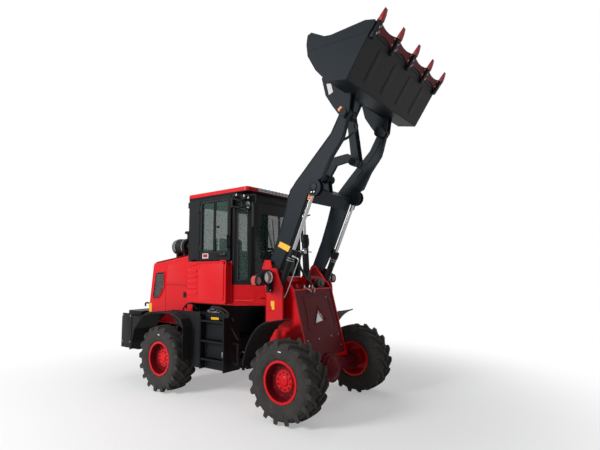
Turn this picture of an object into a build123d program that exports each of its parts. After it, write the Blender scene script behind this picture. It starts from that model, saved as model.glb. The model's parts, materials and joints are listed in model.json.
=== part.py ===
from build123d import *

# Compact articulated wheel loader, 2 tonne class: boom raised, bucket rolled back.
#
# Millimetres. +X forward, +Y left, +Z up, z = 0 is the ground under the tyres.
# Outlines are (x, z), (x, y) or (y, z) points, with x measured forward from the rear axle.
# The model's own origin is on the ground under the middle of its length.
# Names that end in _y are distances to either side of the machine's middle plane.

import os
from math import cos, hypot, radians, sin

os.makedirs("parts", exist_ok=True)


def along(start, end, distance, offset=0.0):
    """Point at a distance from start towards end, moved square to that way to its left."""
    run = hypot(end[0] - start[0], end[1] - start[1])
    ux = (end[0] - start[0]) / run
    uz = (end[1] - start[1]) / run
    return (start[0] + ux * distance - uz * offset, start[1] + uz * distance + ux * offset)


# ---- length and origin --------------------------------------------------------------
wheelbase = 2270.0
tail_x = -1270.0  # rear face of the counterweight
edge_point = (3560.0, 4310.0)  # front edge of the bucket's floor, (x, z)
heel_point = (3200.0, 3775.0)  # rear edge of the bucket's floor
tooth_reach = 166.0  # from the floor's edge to the tooth tips
tooth_drop = 29.0  # of the tips below the floor's underside
tooth_tip = along(edge_point, heel_point, -tooth_reach, tooth_drop)
datum_x = -(tail_x + tooth_tip[0]) / 2  # the rear axle, from the model's origin

# ---- wheels and axles ---------------------------------------------------------------

tyre_radius = 470.0
tyre_width = 352.0
tyre_side = 16.0  # thickness of a side wall
tyre_crown = 34.0  # thickness under the tread
wheel_y = 817.0  # middle of a tyre
rim_radius = 241.5  # over the rim's flanges
rim_seat_radius = 222.0
rim_width = 300.0
rim_skin = 8.0
dish_depth = 95.0  # from the outer flange in to the disc
hub_radius = 118.0
axle_radius = 75.0
rear_ball_radius = 150.0
front_ball_radius = 180.0
front_arch_radius = 190.0  # of the front plate's arch over the ball
axle_hub_radius = 130.0
axle_hub_y = 640.0  # outer face of the axle's hub end
spindle_radius = 45.0
spindle_length = 150.0
pin_clearance = 0.3  # between a pin, rod or spindle and its bore

# ---- articulation and steering ------------------------------------------------------
hinge_x = wheelbase / 2
hinge_pin_radius = 35.0
hinge_lug_radius = 90.0
lug_thickness = 40.0
lug_gap = 10.0  # between a rear lug and the front lug beside it
lower_lug_z = 410.0  # underside of the rear frame's lower lug
upper_lug_z = 750.0
hinge_lug_y = 300.0  # half width of the lugs at their roots
hinge_wall = 25.0

steer_base = (600.0, 420.0)  # (x, y) on the rear frame
steer_eye = (1450.0, 300.0)  # (x, y) on the front frame
steer_z = 600.0
steer_barrel_radius = 32.0
steer_rod_radius = 16.0
steer_barrel_length = 480.0
steer_rod_length = 550.0

# ---- linkage pins, (x, z) with the boom raised --------------------------------------
boom_pivot = (1780.0, 1720.0)
bucket_pin = (2920.0, 3600.0)
rocker_pivot = (2290.0, 2970.0)
rocker_front = (2785.0, 3105.0)
rocker_rear = (1890.0, 2820.0)
link_top = (2712.0, 3745.0)
lift_base = (1790.0, 1250.0)
lift_eye = (2460.0, 2750.0)
tilt_base = (1955.0, 1620.0)

# ---- boom and its towers ------------------------------------------------------------
arm_y = 505.0
arm_width = 60.0
cheek = 12.0
boss_width = 100.0
boom_pin_radius = 30.0
bucket_pin_radius = 25.0
lift_pin_radius = 22.0
rocker_pin_radius = 25.0
pin_collar = 82.0  # length of the collar on the end of a linkage pin
tower_in_y = arm_y - 57.5  # outer face of a tower's inner plate
tower_out_y = arm_y + 60  # inner face of its outer plate
tower_plate = 20.0
rocker_width = 50.0
rocker_lug = 20.0
lug_play = 8.0  # between a plate and the lugs that straddle it
link_plate = 15.0

# ---- cylinders ----------------------------------------------------------------------
lift_barrel_radius = 45.0
lift_rod_radius = 25.0
lift_barrel_length = 809.0
lift_overlap = 26.0  # of the rod inside the barrel with the boom raised
lift_rod_length = (hypot(lift_eye[0] - lift_base[0], lift_eye[1] - lift_base[1]) - lift_barrel_length
                   + lift_overlap)
lift_eye_width = 40.0
tilt_barrel_radius = 45.0
tilt_rod_radius = 25.0
tilt_barrel_length = 600.0
tilt_overlap = 218.0
tilt_rod_length = (hypot(rocker_rear[0] - tilt_base[0], rocker_rear[1] - tilt_base[1]) - tilt_barrel_length
                   + tilt_overlap)
fork_depth = 235.0  # from the rod fork's eye to its root
gland_length = 30.0

# ---- rear body ----------------------------------------------------------------------
rail_y = 255.0  # outer face of a frame rail
rail_width = 30.0
rail_low_z = 560.0
rail_top_z = 820.0
rail_rear_x = -880.0
rail_front_x = 770.0

weight_y = 820.0
weight_low_z = 500.0
weight_top_z = 1000.0
weight_wing_x = -750.0
hitch_bore_radius = 20.5
hitch_x = -1190.0
hitch_y = 60.0  # half width of the ears
hitch_ears = (550.0, 660.0)  # undersides
hitch_ear_height = 30.0

hood_y = 585.0
hood_sheet = 8.0
hood_low_z = 920.0
hood_front_x = 262.0
pannier_y = 810.0
pannier_low_z = 1290.0
pannier_top_z = 1860.0
pannier_front_x = 1200.0

cab_rear_x = 270.0
cab_y = 690.0
cab_corner_x = 1245.0  # where a side wall turns into its slanted corner panel
cab_front_x = 1430.0
cab_front_y = 560.0
cab_wall = 35.0
cab_floor_z = 1262.0
floor_sheet = 30.0
cab_sill_z = 1540.0
cab_top_z = 2810.0
roof_height = 58.0
roof_front_x = 1500.0
skirt_front_x = 1590.0
skirt_front_y = 440.0
glass = 6.0
window_low_z = 1600.0
window_top_z = 2700.0

door_rear_x = 530.0
door_front_x = 1195.0
door_low_z = 1870.0
door_top_z = 2768.0
door_sheet = 25.0
door_frame = 70.0
door_front_frame = 48.0
door_lap = 30.0  # how far the door laps its opening
door_gap = 2.0
door_hinge_radius = 12.0
door_hinge_x = door_rear_x - 14
door_hinge_y = cab_y + 18
hinge_zs = (2080.0, 2560.0)
handle_x = door_front_x - 24
handle_zs = (2050.0, 2200.0)

box_in_y = 500.0
box_out_y = 715.0
box_rear_x = 530.0
box_front_x = 1180.0
box_low_z = 390.0
box_top_z = 1150.0
ladder_y = 800.0
ladder_xs = (700.0, 1165.0)
step_zs = (525.0, 770.0, 1040.0)

bucket_y = 965.0
bucket_plate = 14.0
edge_plate = 16.0
tooth_count = 5
tooth_span_y = 916.0
tooth_width = 60.0

sides = (("right", -1), ("left", 1))


# ---- planes and shapes --------------------------------------------------------------
def side(y):
    """Plane across the machine at y: sketch x forward, sketch y up, facing the right."""
    return Plane(origin=(datum_x, y, 0), x_dir=(1, 0, 0), z_dir=(0, -1, 0))


def level(z):
    """Plane at height z: sketch x forward, sketch y left, facing up."""
    return Plane(origin=(datum_x, 0, z), x_dir=(1, 0, 0), z_dir=(0, 0, 1))


def across(x):
    """Plane square to the machine's length at x: sketch x left, sketch y up."""
    return Plane(origin=(datum_x + x, 0, 0), x_dir=(0, 1, 0), z_dir=(1, 0, 0))


def outline_sketch(plane, points):
    with BuildSketch(plane) as profile:
        with BuildLine():
            Polyline(*points, close=True)
        make_face()
    return profile.sketch


def plate(points, y_from, y_to, mode=Mode.ADD):
    """Upright plate with an (x, z) outline between two y."""
    extrude(outline_sketch(side(y_from), points), amount=y_from - y_to, mode=mode)


def slab(points, z_from, z_to, mode=Mode.ADD):
    """Level plate with an (x, y) outline between two z."""
    extrude(outline_sketch(level(z_from), points), amount=z_to - z_from, mode=mode)


def wall(points, x_from, x_to, mode=Mode.ADD):
    """Cross plate with a (y, z) outline between two x."""
    extrude(outline_sketch(across(x_from), points), amount=x_to - x_from, mode=mode)


def block(x_from, x_to, y_from, y_to, z_from, z_to, mode=Mode.ADD):
    corners = [(x_from, y_from), (x_to, y_from), (x_to, y_to), (x_from, y_to)]
    slab(corners, z_from, z_to, mode)


def disc(centre, radius, y_from, y_to, mode=Mode.ADD):
    """Cylinder along y around an (x, z) centre."""
    with BuildSketch(side(y_from)) as profile:
        with Locations(centre):
            Circle(radius)
    extrude(profile.sketch, amount=y_from - y_to, mode=mode)


def post(centre, radius, z_from, z_to, mode=Mode.ADD):
    """Upright cylinder around an (x, y) centre."""
    with BuildSketch(level(z_from)) as profile:
        with Locations(centre):
            Circle(radius)
    extrude(profile.sketch, amount=z_to - z_from, mode=mode)


def bar(start, end, start_radius, end_radius, y_from, y_to, mode=Mode.ADD):
    """Upright plate around two (x, z) centres, with straight tangent sides."""
    with BuildSketch(side(y_from)) as profile:
        with BuildLine():
            CenterArc(start, start_radius, 0, 360)
            CenterArc(end, end_radius, 0, 360)
        make_hull()
    extrude(profile.sketch, amount=y_from - y_to, mode=mode)


def rod(start, end, radius, mode=Mode.ADD):
    """Round bar between two (x, y, z) points."""
    origin = Vector(start[0] + datum_x, start[1], start[2])
    reach = Vector(end[0] + datum_x, end[1], end[2]) - origin
    with BuildSketch(Plane(origin=origin, z_dir=reach)) as profile:
        Circle(radius)
    extrude(profile.sketch, amount=reach.length, mode=mode)


def pipe(points, radius, bend):
    """Round bar bent along (x, y, z) points."""
    route = [(x + datum_x, y, z) for x, y, z in points]
    with BuildLine() as path:
        FilletPolyline(*route, radius=bend)
    with BuildSketch(Plane(origin=route[0], z_dir=path.line % 0)) as profile:
        Circle(radius)
    sweep(profile.sketch, path=path.line)


def mirrored(points):
    """Closed (x, y) or (y, z) outline from its half on one side of the middle plane."""
    return points + [(x, -y) for x, y in reversed(points)]


def finish(builder, name):
    builder.part.label = name
    export_step(builder.part, f"parts/{name}.step")


# ---- wheels -------------------------------------------------------------------------
def tyre_half_profile(shrink_side, shrink_crown):
    """(y, r) points of a tyre's section from bead to bead, from the tyre's middle."""
    half = tyre_width / 2 - shrink_side
    crown = tyre_radius - shrink_crown
    bead = rim_width / 2 - rim_skin - shrink_side
    return bead, half, crown


for end, axle_x, ball_radius in (("rear", 0.0, rear_ball_radius), ("front", wheelbase, front_ball_radius)):
    for hand, sign in sides:
        hub = Plane(origin=(datum_x + axle_x, sign * wheel_y, tyre_radius),
                    x_dir=(0, sign, 0), z_dir=(1, 0, 0))
        # in this plane x runs outward along the axle and y is the radius, turned about x
        with BuildPart() as tyre:
            with BuildSketch(hub):
                for part_mode, side_cut, crown_cut in (
                        (Mode.ADD, 0.0, 0.0), (Mode.SUBTRACT, tyre_side, tyre_crown)):
                    bead, half, crown = tyre_half_profile(side_cut, crown_cut)
                    low = rim_seat_radius if part_mode == Mode.ADD else rim_seat_radius - 1
                    with BuildLine():
                        Polyline((-bead, low), (-bead, rim_radius + 6))
                        ThreePointArc((-bead, rim_radius + 6), (-half, 345), (-half + 22, crown - 28))
                        Polyline((-half + 22, crown - 28), (-half + 44, crown), (half - 44, crown),
                                 (half - 22, crown - 28))
                        ThreePointArc((half - 22, crown - 28), (half, 345), (bead, rim_radius + 6))
                        Polyline((bead, rim_radius + 6), (bead, low), (-bead, low))
                    make_face(mode=part_mode)
            revolve(axis=Axis(hub.origin, (0, 1, 0)))
        finish(tyre, f"tyre_{end}_{hand}")

        flange_y = rim_width / 2
        dish_y = flange_y - dish_depth
        with BuildPart() as rim:
            with BuildSketch(hub):
                with BuildLine():
                    Polyline((-flange_y, rim_radius), (-flange_y + rim_skin, rim_radius),
                             (-flange_y + rim_skin, rim_seat_radius), (flange_y - rim_skin, rim_seat_radius),
                             (flange_y - rim_skin, rim_radius), (flange_y, rim_radius),
                             (flange_y, rim_seat_radius - rim_skin), (dish_y, rim_seat_radius - 2 * rim_skin),
                             (dish_y, hub_radius), (dish_y + 14, hub_radius), (dish_y + 14, 0),
                             (dish_y - 10, 0), (dish_y - 10, spindle_radius + pin_clearance),
                             (dish_y - spindle_length, spindle_radius + pin_clearance),
                             (dish_y - spindle_length, hub_radius - 20), (dish_y - 12, hub_radius - 10),
                             (dish_y - 12, rim_seat_radius - 3 * rim_skin),
                             (-flange_y, rim_seat_radius - rim_skin), close=True)
                make_face()
            revolve(axis=Axis(hub.origin, (0, 1, 0)))
        finish(rim, f"rim_{end}_{hand}")

    # axle housing: tube, differential ball, hub ends with their spindles, saddles
    hub_face = wheel_y + rim_width / 2 - dish_depth - spindle_length
    with BuildPart() as axle:
        disc((axle_x, tyre_radius), axle_radius, -axle_hub_y + 60, axle_hub_y - 60)
        for hand, sign in sides:
            disc((axle_x, tyre_radius), axle_hub_radius, sign * (axle_hub_y - 70), sign * axle_hub_y)
            disc((axle_x, tyre_radius), spindle_radius, sign * axle_hub_y,
                 sign * (hub_face + spindle_length - 20))
            block(axle_x - 70, axle_x + 70, sign * 180, sign * 330, tyre_radius + 40, rail_low_z)
        with Locations((datum_x + axle_x, 0, tyre_radius)):
            Sphere(ball_radius)
        block(axle_x - 60, axle_x + 60, -179, 179, rail_low_z - 60, rail_low_z)
        if end == "rear":
            block(axle_x - 200, axle_x + 200, -200, 200, rail_low_z, rail_low_z + 200, mode=Mode.SUBTRACT)
    finish(axle, f"{end}_axle")

# ---- rear frame ---------------------------------------------------------------------
rear_lugs = (lower_lug_z, upper_lug_z)
cradle_y = box_in_y
with BuildPart() as rear_frame:
    for hand, sign in sides:
        block(rail_rear_x, rail_front_x, sign * (rail_y - rail_width), sign * rail_y, rail_low_z, rail_top_z)
        # ears that hold a steering barrel
        for z in (steer_z - 45, steer_z + 25):
            block(steer_base[0] - 45, steer_base[0] + 45, sign * (rail_y - 5), sign * (steer_base[1] + 25),
                  z, z + 20)
        post((steer_base[0], sign * steer_base[1]), 14, steer_z - 45, steer_z + 45)
    block(rail_rear_x, rail_rear_x + 25, -rail_y, rail_y, rail_low_z, rail_top_z)
    block(rail_front_x - hinge_wall, rail_front_x, -hinge_lug_y, hinge_lug_y, lower_lug_z, cab_floor_z)
    block(rail_front_x - hinge_wall, rail_front_x, -cradle_y, cradle_y, rail_top_z + 40, cab_floor_z)
    block(300, 325, -cradle_y, cradle_y, rail_top_z, cab_floor_z)
    for x in (-800, 100):
        block(x, x + 60, -hood_y, hood_y, hood_low_z - 20, hood_low_z)
        block(x, x + 60, -rail_y, rail_y, rail_top_z, hood_low_z - 20)
    for z in rear_lugs:
        with BuildSketch(level(z)) as lug:
            with BuildLine():
                Polyline((rail_front_x, hinge_lug_y), (hinge_x, hinge_lug_radius),
                         (hinge_x, -hinge_lug_radius), (rail_front_x, -hinge_lug_y), close=True)
            make_face()
            with Locations((hinge_x, 0)):
                Circle(hinge_lug_radius)
        extrude(lug.sketch, amount=lug_thickness)
    # articulation pins, pressed into the rear lugs
    post((hinge_x, 0), hinge_pin_radius, lower_lug_z - lug_gap - lug_thickness, lower_lug_z + lug_thickness)
    post((hinge_x, 0), hinge_pin_radius, upper_lug_z, upper_lug_z + 2 * lug_thickness + lug_gap)
finish(rear_frame, "rear_frame")

with BuildPart() as engine:
    block(-700, -60, -rail_y, rail_y, rail_top_z, 1560)
finish(engine, "engine")

with BuildPart() as counterweight:
    block(tail_x, weight_wing_x, -weight_y, weight_y, weight_low_z, weight_top_z)
    block(tail_x, rail_rear_x, -700, 700, weight_top_z, 1080)
    fillet(counterweight.edges().filter_by(Axis.Z).group_by(Axis.X)[0], 40)
    # room for the frame, the hood's tail and the hitch
    block(rail_rear_x, weight_wing_x + 10, -hood_y - 15, hood_y + 15, weight_low_z - 10, 1090, mode=Mode.SUBTRACT)
    block(tail_x - 10, tail_x + 190, -150, 150, weight_low_z - 10, 800, mode=Mode.SUBTRACT)
    for z in hitch_ears:
        block(hitch_x, tail_x + 191, -hitch_y, hitch_y, z, z + hitch_ear_height)
        post((hitch_x, 0), hitch_y, z, z + hitch_ear_height)
        post((hitch_x, 0), hitch_bore_radius, z, z + hitch_ear_height, mode=Mode.SUBTRACT)
    # grab bar on the left wing
    pipe([(-1200, 770, weight_top_z), (-1200, 770, 1120), (-1200, 650, 1120), (-1200, 650, 1080)], 11, 25)
finish(counterweight, "counterweight")


# ---- hood, side covers and fenders --------------------------------------------------
def hood_outline(shrink):
    low = hood_low_z if shrink == 0 else hood_low_z - 10
    front = hood_front_x if shrink == 0 else hood_front_x + 10
    top = 2006 - shrink
    return [(-868 + shrink, low), (-745 + shrink, 1840), (-700 + shrink, 1888 - shrink),
            (front, top), (front, low)]


with BuildPart() as hood:
    plate(hood_outline(0), -hood_y, hood_y)
    long_edges = hood.faces().sort_by(Axis.Z)[-1].edges().filter_by(Axis.Y, reverse=True)
    fillet(long_edges, 60)
    plate(hood_outline(hood_sheet), -hood_y + hood_sheet, hood_y - hood_sheet, mode=Mode.SUBTRACT)
finish(hood, "hood")

# closed covers beside the cab, slanted at the rear and rounded at the front
with BuildPart() as panniers:
    for hand, sign in sides:
        cover = [(150, hood_y), (150, 600), (410, pannier_y), (pannier_front_x, pannier_y),
                 (pannier_front_x, cab_y), (cab_rear_x - 8, cab_y), (cab_rear_x - 8, hood_y)]
        core = [(300, cab_y + 8), (420, pannier_y - 8), (pannier_front_x - 8, pannier_y - 8),
                (pannier_front_x - 8, cab_y + 8)]
        slab([(x, sign * y) for x, y in cover], pannier_low_z, pannier_top_z)
        corners = (panniers.edges().filter_by(Axis.Y).group_by(Axis.X)[-1]
                   .filter_by(lambda e: e.center().Y * sign > 0 and e.center().Z > 1500))
        fillet(corners, 110)
        slab([(x, sign * y) for x, y in core], pannier_low_z + 8, pannier_top_z - 120, mode=Mode.SUBTRACT)
finish(panniers, "panniers")

fender_sheet = 8.0
fender_low_z = 1060.0  # of the side skirt's rear end
fender_top_z = 1160.0
rear_arch = [(weight_wing_x, 530), (-700, 640), (-640, 850), (-420, 1060), (-150, 1130), (250, 1130),
             (460, 1060), (box_rear_x, 960)]


def banded(points, thickness):
    """Outline of a bent sheet that lies under a line of (x, z) points."""
    under = []
    for i, point in enumerate(points):
        before = points[max(i - 1, 0)]
        after = points[min(i + 1, len(points) - 1)]
        run = hypot(after[0] - before[0], after[1] - before[1])
        nx = (after[1] - before[1]) / run
        nz = -(after[0] - before[0]) / run
        under.append((point[0] + nx * thickness, point[1] + nz * thickness))
    return points + under[::-1]


with BuildPart() as rear_fenders:
    for hand, sign in sides:
        plate(banded(rear_arch, fender_sheet), sign * (hood_y + 2), sign * 975)
        # side skirt below the ladder side of the arch
        plate([(60, fender_low_z), (137, 985), (265, 929), (375, 845), (459, 735), (512, 560), (box_rear_x - 2, 400),
               (680, 400), (680, fender_top_z), (60, fender_top_z)], sign * 786, sign * 794)
        # drop panel that joins the arch to the side box
        plate([(box_rear_x - 10, box_low_z), (box_rear_x, box_low_z), (box_rear_x, 960), (box_rear_x - 10, 975)],
              sign * (box_out_y - 60), sign * 790)
finish(rear_fenders, "rear_fenders")

with BuildPart() as side_boxes:
    for hand, sign in sides:
        box_corners = (box_rear_x, box_front_x, sign * box_in_y, sign * box_out_y)
        block(*box_corners, box_low_z, box_top_z)
        block(box_rear_x + 8, box_front_x - 8, sign * (box_in_y + 8), sign * (box_out_y - 8),
              box_low_z + 8, box_top_z - 8, mode=Mode.SUBTRACT)
finish(side_boxes, "side_boxes")

with BuildPart() as ladders:
    for hand, sign in sides:
        for x in ladder_xs:
            block(x - 8, x + 8, sign * box_out_y, sign * ladder_y, box_low_z, box_top_z - 50)
        for z in step_zs:
            block(ladder_xs[0], ladder_xs[1], sign * (box_out_y), sign * (ladder_y - 5), z - 12, z + 12)
finish(ladders, "ladders")

# ---- cab ----------------------------------------------------------------------------
cab_half = [(cab_rear_x, cab_y), (cab_corner_x, cab_y), (cab_front_x, cab_front_y)]
floor_half = [(cab_rear_x, cab_y), (cab_corner_x, cab_y), (skirt_front_x, skirt_front_y)]


def ring(half, wall_thickness, z_from, z_to):
    """Upright wall that follows half an outline and its mirror image."""
    whole = mirrored(half)
    with BuildSketch(level(z_from)) as profile:
        with BuildLine():
            Polyline(*whole, close=True)
        make_face()
        offset(amount=-wall_thickness, kind=Kind.INTERSECTION, mode=Mode.SUBTRACT)
    extrude(profile.sketch, amount=z_to - z_from)


with BuildPart() as cab_floor:
    slab(mirrored(floor_half), cab_floor_z, cab_floor_z + floor_sheet)
    ring(floor_half, cab_wall, cab_floor_z + floor_sheet, cab_sill_z)
    # shelf in front of the windshield
    slab([(cab_front_x - cab_wall, cab_front_y - 10), (cab_front_x, cab_front_y), (skirt_front_x, skirt_front_y),
          (skirt_front_x, -skirt_front_y), (cab_front_x, -cab_front_y), (cab_front_x - cab_wall, 10 - cab_front_y)],
         cab_sill_z - 12, cab_sill_z)
finish(cab_floor, "cab_floor")

corner_run = hypot(cab_front_x - cab_corner_x, cab_y - cab_front_y)


def corner_plane(sign):
    """Plane of the cab's slanted corner panel on one side, facing out."""
    return Plane(origin=(datum_x + (cab_corner_x + cab_front_x) / 2, sign * (cab_y + cab_front_y) / 2,
                         (window_low_z + window_top_z) / 2),
                 x_dir=(cab_front_x - cab_corner_x, sign * (cab_front_y - cab_y), 0),
                 z_dir=(cab_y - cab_front_y, sign * (cab_front_x - cab_corner_x), 0))


with BuildPart() as cab_shell:
    ring(cab_half, cab_wall, cab_sill_z, cab_top_z)
    # windshield and rear window
    block(cab_front_x - 60, cab_front_x + 10, 50 - cab_front_y, cab_front_y - 50, window_low_z, window_top_z,
          mode=Mode.SUBTRACT)
    block(cab_rear_x - 10, cab_rear_x + 60, 130 - cab_y, cab_y - 130, 2060, window_top_z, mode=Mode.SUBTRACT)
    for hand, sign in sides:
        # slanted corner window
        with BuildSketch(corner_plane(sign)) as opening:
            Rectangle(corner_run - 90, window_top_z - window_low_z)
        extrude(opening.sketch, amount=60, both=True, mode=Mode.SUBTRACT)
        # door opening
        block(door_rear_x + door_lap, door_front_x - door_lap, sign * (cab_y - cab_wall - 5), sign * (cab_y + 5),
              door_low_z + door_lap, door_top_z - door_lap, mode=Mode.SUBTRACT)
        # hinge knuckles for the door
        for z in hinge_zs:
            post((door_hinge_x, sign * door_hinge_y), door_hinge_radius, z - 60, z - 20 - pin_clearance)
            block(door_hinge_x - 40, door_hinge_x, sign * (cab_y - 1), sign * (door_hinge_y - 4), z - 60,
                  z - 20 - pin_clearance)
finish(cab_shell, "cab_shell")

with BuildPart() as cab_glass:
    block(cab_front_x - 20 - glass, cab_front_x - 20, 50 - cab_front_y, cab_front_y - 50, window_low_z, window_top_z)
    block(cab_rear_x + 14, cab_rear_x + 14 + glass, 130 - cab_y, cab_y - 130, 2060, window_top_z)
    for hand, sign in sides:
        with BuildSketch(corner_plane(sign).offset(-20)) as pane:
            Rectangle(corner_run - 90, window_top_z - window_low_z)
        extrude(pane.sketch, amount=glass)
finish(cab_glass, "cab_glass")

with BuildPart() as cab_roof:
    block(cab_rear_x - 20, roof_front_x, -cab_y - 20, cab_y + 20, cab_top_z, cab_top_z + roof_height)
    fillet(cab_roof.edges().filter_by(Axis.Z), 60)
    fillet(cab_roof.faces().sort_by(Axis.Z)[-1].edges(), 20)
finish(cab_roof, "cab_roof")

with BuildPart() as seat:
    block(480, 860, -190, 190, cab_floor_z + floor_sheet, 1600)
    block(440, 900, -240, 240, 1600, 1720)
    fillet(seat.edges().filter_by(Axis.Z), 30)
    plate([(440, 1720), (560, 1720), (500, 2260), (400, 2260)], -230, 230)
finish(seat, "seat")

with BuildPart() as steering_column:
    rod((1290, 0, cab_floor_z + floor_sheet + 30), (1150, 0, 1950), 35)
    block(1250, 1370, -60, 60, cab_floor_z + floor_sheet, cab_floor_z + floor_sheet + 90)
    rod((1165, 0, 1880), (1138, 0, 2006), 18)
    wheel_plane = Plane(origin=(datum_x + 1138, 0, 2006), z_dir=(-0.21, 0, 0.977))
    with BuildSketch(Plane(origin=wheel_plane.origin + wheel_plane.x_dir * 180,
                           x_dir=wheel_plane.x_dir, z_dir=wheel_plane.y_dir)) as grip:
        Circle(15)
    revolve(grip.sketch, axis=Axis(wheel_plane.origin, wheel_plane.z_dir))
    rod((1138, -180, 2006), (1138, 180, 2006), 11)
finish(steering_column, "steering_column")


def hood_top(x):
    """Height of the hood's top at x."""
    return 1888 + (2006 - 1888) * (x + 700) / (hood_front_x + 700)


cleaner_y = -350.0
cleaner_z = 2122.0
with BuildPart() as air_cleaner:
    rod((-430, cleaner_y, cleaner_z), (-130, cleaner_y, cleaner_z), 122)
    rod((-130, cleaner_y, cleaner_z), (-70, cleaner_y, cleaner_z), 60)
    for x in (-380, -200):
        plate([(x, hood_top(x)), (x + 40, hood_top(x + 40)), (x + 40, cleaner_z), (x, cleaner_z)],
              cleaner_y - 70, cleaner_y + 70)
finish(air_cleaner, "air_cleaner")

with BuildPart() as mirrors:
    # the right one swung out, the left one folded back along the cab
    block(1575, 1600, -705, -560, 2300, 2630)
    pipe([(1230, -cab_y, 2740), (1230, -735, 2740), (1590, -640, 2740), (1590, -640, 2625)], 10, 22)
    block(1215, 1350, 748, 773, 2300, 2630)
    pipe([(1230, cab_y, 2740), (1230, 760, 2740), (1230, 760, 2625)], 10, 22)
finish(mirrors, "mirrors")

# ---- doors --------------------------------------------------------------------------
door_in_y = cab_y + door_gap
door_out_y = door_in_y + door_sheet
for hand, sign in sides:
    with BuildPart() as door:
        block(door_rear_x, door_front_x, sign * door_in_y, sign * door_out_y, door_low_z, door_top_z)
        fillet(door.edges().filter_by(Axis.Y), 25)
        block(door_rear_x + door_frame, door_front_x - door_front_frame, sign * (door_in_y - 5),
              sign * (door_out_y + 5), door_low_z + 120, door_top_z - 50, mode=Mode.SUBTRACT)
        for z in hinge_zs:
            post((door_hinge_x, sign * door_hinge_y), door_hinge_radius, z - 20, z + 20)
            block(door_hinge_x, door_rear_x + 5, sign * (door_hinge_y - 6), sign * (door_hinge_y + 6), z - 20, z + 20)
        # pull handle
        for z in handle_zs:
            disc((handle_x, z), 9, sign * (door_out_y - 1), sign * (door_out_y + 40))
        post((handle_x, sign * (door_out_y + 40)), 10, handle_zs[0] - 15, handle_zs[1] + 15)
    finish(door, f"door_{hand}")
    with BuildPart() as door_glass:
        block(door_rear_x + door_frame, door_front_x - door_front_frame, sign * (door_in_y + 8),
              sign * (door_in_y + 8 + glass), door_low_z + 120, door_top_z - 50)
    finish(door_glass, f"door_{hand}_glass")

# ---- front frame --------------------------------------------------------------------
inner_plate = [(1560, 560), (1560, 850), (1625, 1000), (1700, 1250), (1700, 1720), (1745, 1795), (1815, 1795),
               (1865, 1720), (2070, 1490), (2290, 650), (2310, 606), (2310, 560)]
outer_plate = [(1723, 1070), (1723, 1490), (1640, 1620), (1640, 1720), (1700, 1863), (1800, 1863), (1830, 1760),
               (1900, 1755), (2000, 1500), (2006, 1110), (1960, 1070)]
front_low_z = 580.0
tower_in_face = tower_in_y - tower_plate
tower_out_face = tower_out_y + tower_plate
with BuildPart() as front_frame:
    for hand, sign in sides:
        plate(inner_plate, sign * tower_in_face, sign * tower_in_y)
        plate(outer_plate, sign * tower_out_y, sign * tower_out_face)
        block(1723, 1735, sign * (tower_in_y - 2), sign * (tower_out_y + 2), 1070, 1450)
        block(1723, 1860, sign * (tower_in_y - 2), sign * (tower_out_y + 2), 1070, 1085)
        disc(boom_pivot, boom_pin_radius, sign * (tower_in_face + 2), sign * (tower_out_face + 4))
        disc(lift_base, lift_pin_radius, sign * (tower_in_face + 2), sign * (tower_out_face + 8))
        # torque tube and the lug that holds the tilt cylinder
        disc((1860, 1600), 50, sign * 60, sign * (tower_in_face + 2))
        bar(tilt_base, (1880, 1520), 42, 60, sign * (tilt_barrel_radius + lug_play), sign * (tilt_barrel_radius + lug_play + 20))
        # steering rod bracket
        for z in (steer_z - 45, steer_z + 25):
            block(steer_eye[0] - 30, 1530, sign * (steer_eye[1] - 32), sign * (steer_eye[1] + 32), z, z + 20)
    disc(tilt_base, 22, -tilt_barrel_radius - lug_play - 25, tilt_barrel_radius + lug_play + 25)
    block(1800, 2072, -tower_in_face, tower_in_face, 1465, 1485)
    # front plate, leaning back, with its opening and the arch over the axle's ball
    plate([(2030, 1485), (2052, 1485), (2285, 610), (2285, rail_low_z), (2255, rail_low_z), (2258, 610)],
          -tower_in_face, tower_in_face)
    wall([(20, 1221), (148, 1056), (-110, 1034)], 2000, 2300, mode=Mode.SUBTRACT)
    ball_arch = [(front_arch_radius * cos(radians(a)), tyre_radius + front_arch_radius * sin(radians(a)))
                 for a in range(0, 181, 10)]
    wall(ball_arch, 2150, 2400, mode=Mode.SUBTRACT)
    # floor that sits on the axle's saddles
    block(1600, 2270, -tower_in_face, tower_in_face, rail_low_z, front_low_z)
    block(wheelbase - 190, wheelbase + 190, -179, 179, rail_low_z - 5, front_low_z + 5, mode=Mode.SUBTRACT)
    # hinge wall and lugs
    slab([(1520, -330), (1520, 330), (1560, tower_in_y), (1585, tower_in_y), (1545, 330), (1545, -330),
          (1585, -tower_in_y), (1560, -tower_in_y)], lower_lug_z - lug_gap - lug_thickness, 980)
    for z in (lower_lug_z - lug_gap - lug_thickness, upper_lug_z + lug_thickness + lug_gap):
        with BuildSketch(level(z)) as lug:
            with BuildLine():
                Polyline((1525, hinge_lug_y), (hinge_x, hinge_lug_radius), (hinge_x, -hinge_lug_radius),
                         (1525, -hinge_lug_y), close=True)
            make_face()
            with Locations((hinge_x, 0)):
                Circle(hinge_lug_radius)
                Circle(hinge_pin_radius + pin_clearance, mode=Mode.SUBTRACT)
        extrude(lug.sketch, amount=lug_thickness)
finish(front_frame, "front_frame")

front_arch = [(1705, 593), (1722, 680), (1758, 785), (1802, 880), (1860, 966), (1910, 1025), (1963, 1068),
              (2030, 1108), (2105, 1136), (2200, 1152)]
with BuildPart() as front_fenders:
    for hand, sign in sides:
        plate(banded(front_arch, fender_sheet), sign * (tower_out_face + 1), sign * 990)
        # brackets on the tower's inner plate
        block(1895, 1915, sign * tower_in_y, sign * (tower_out_face + 5), 1000, 1030)
        block(1725, 1768, sign * tower_in_y, sign * (tower_out_face + 5), 704, 718)
finish(front_fenders, "front_fenders")

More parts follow.
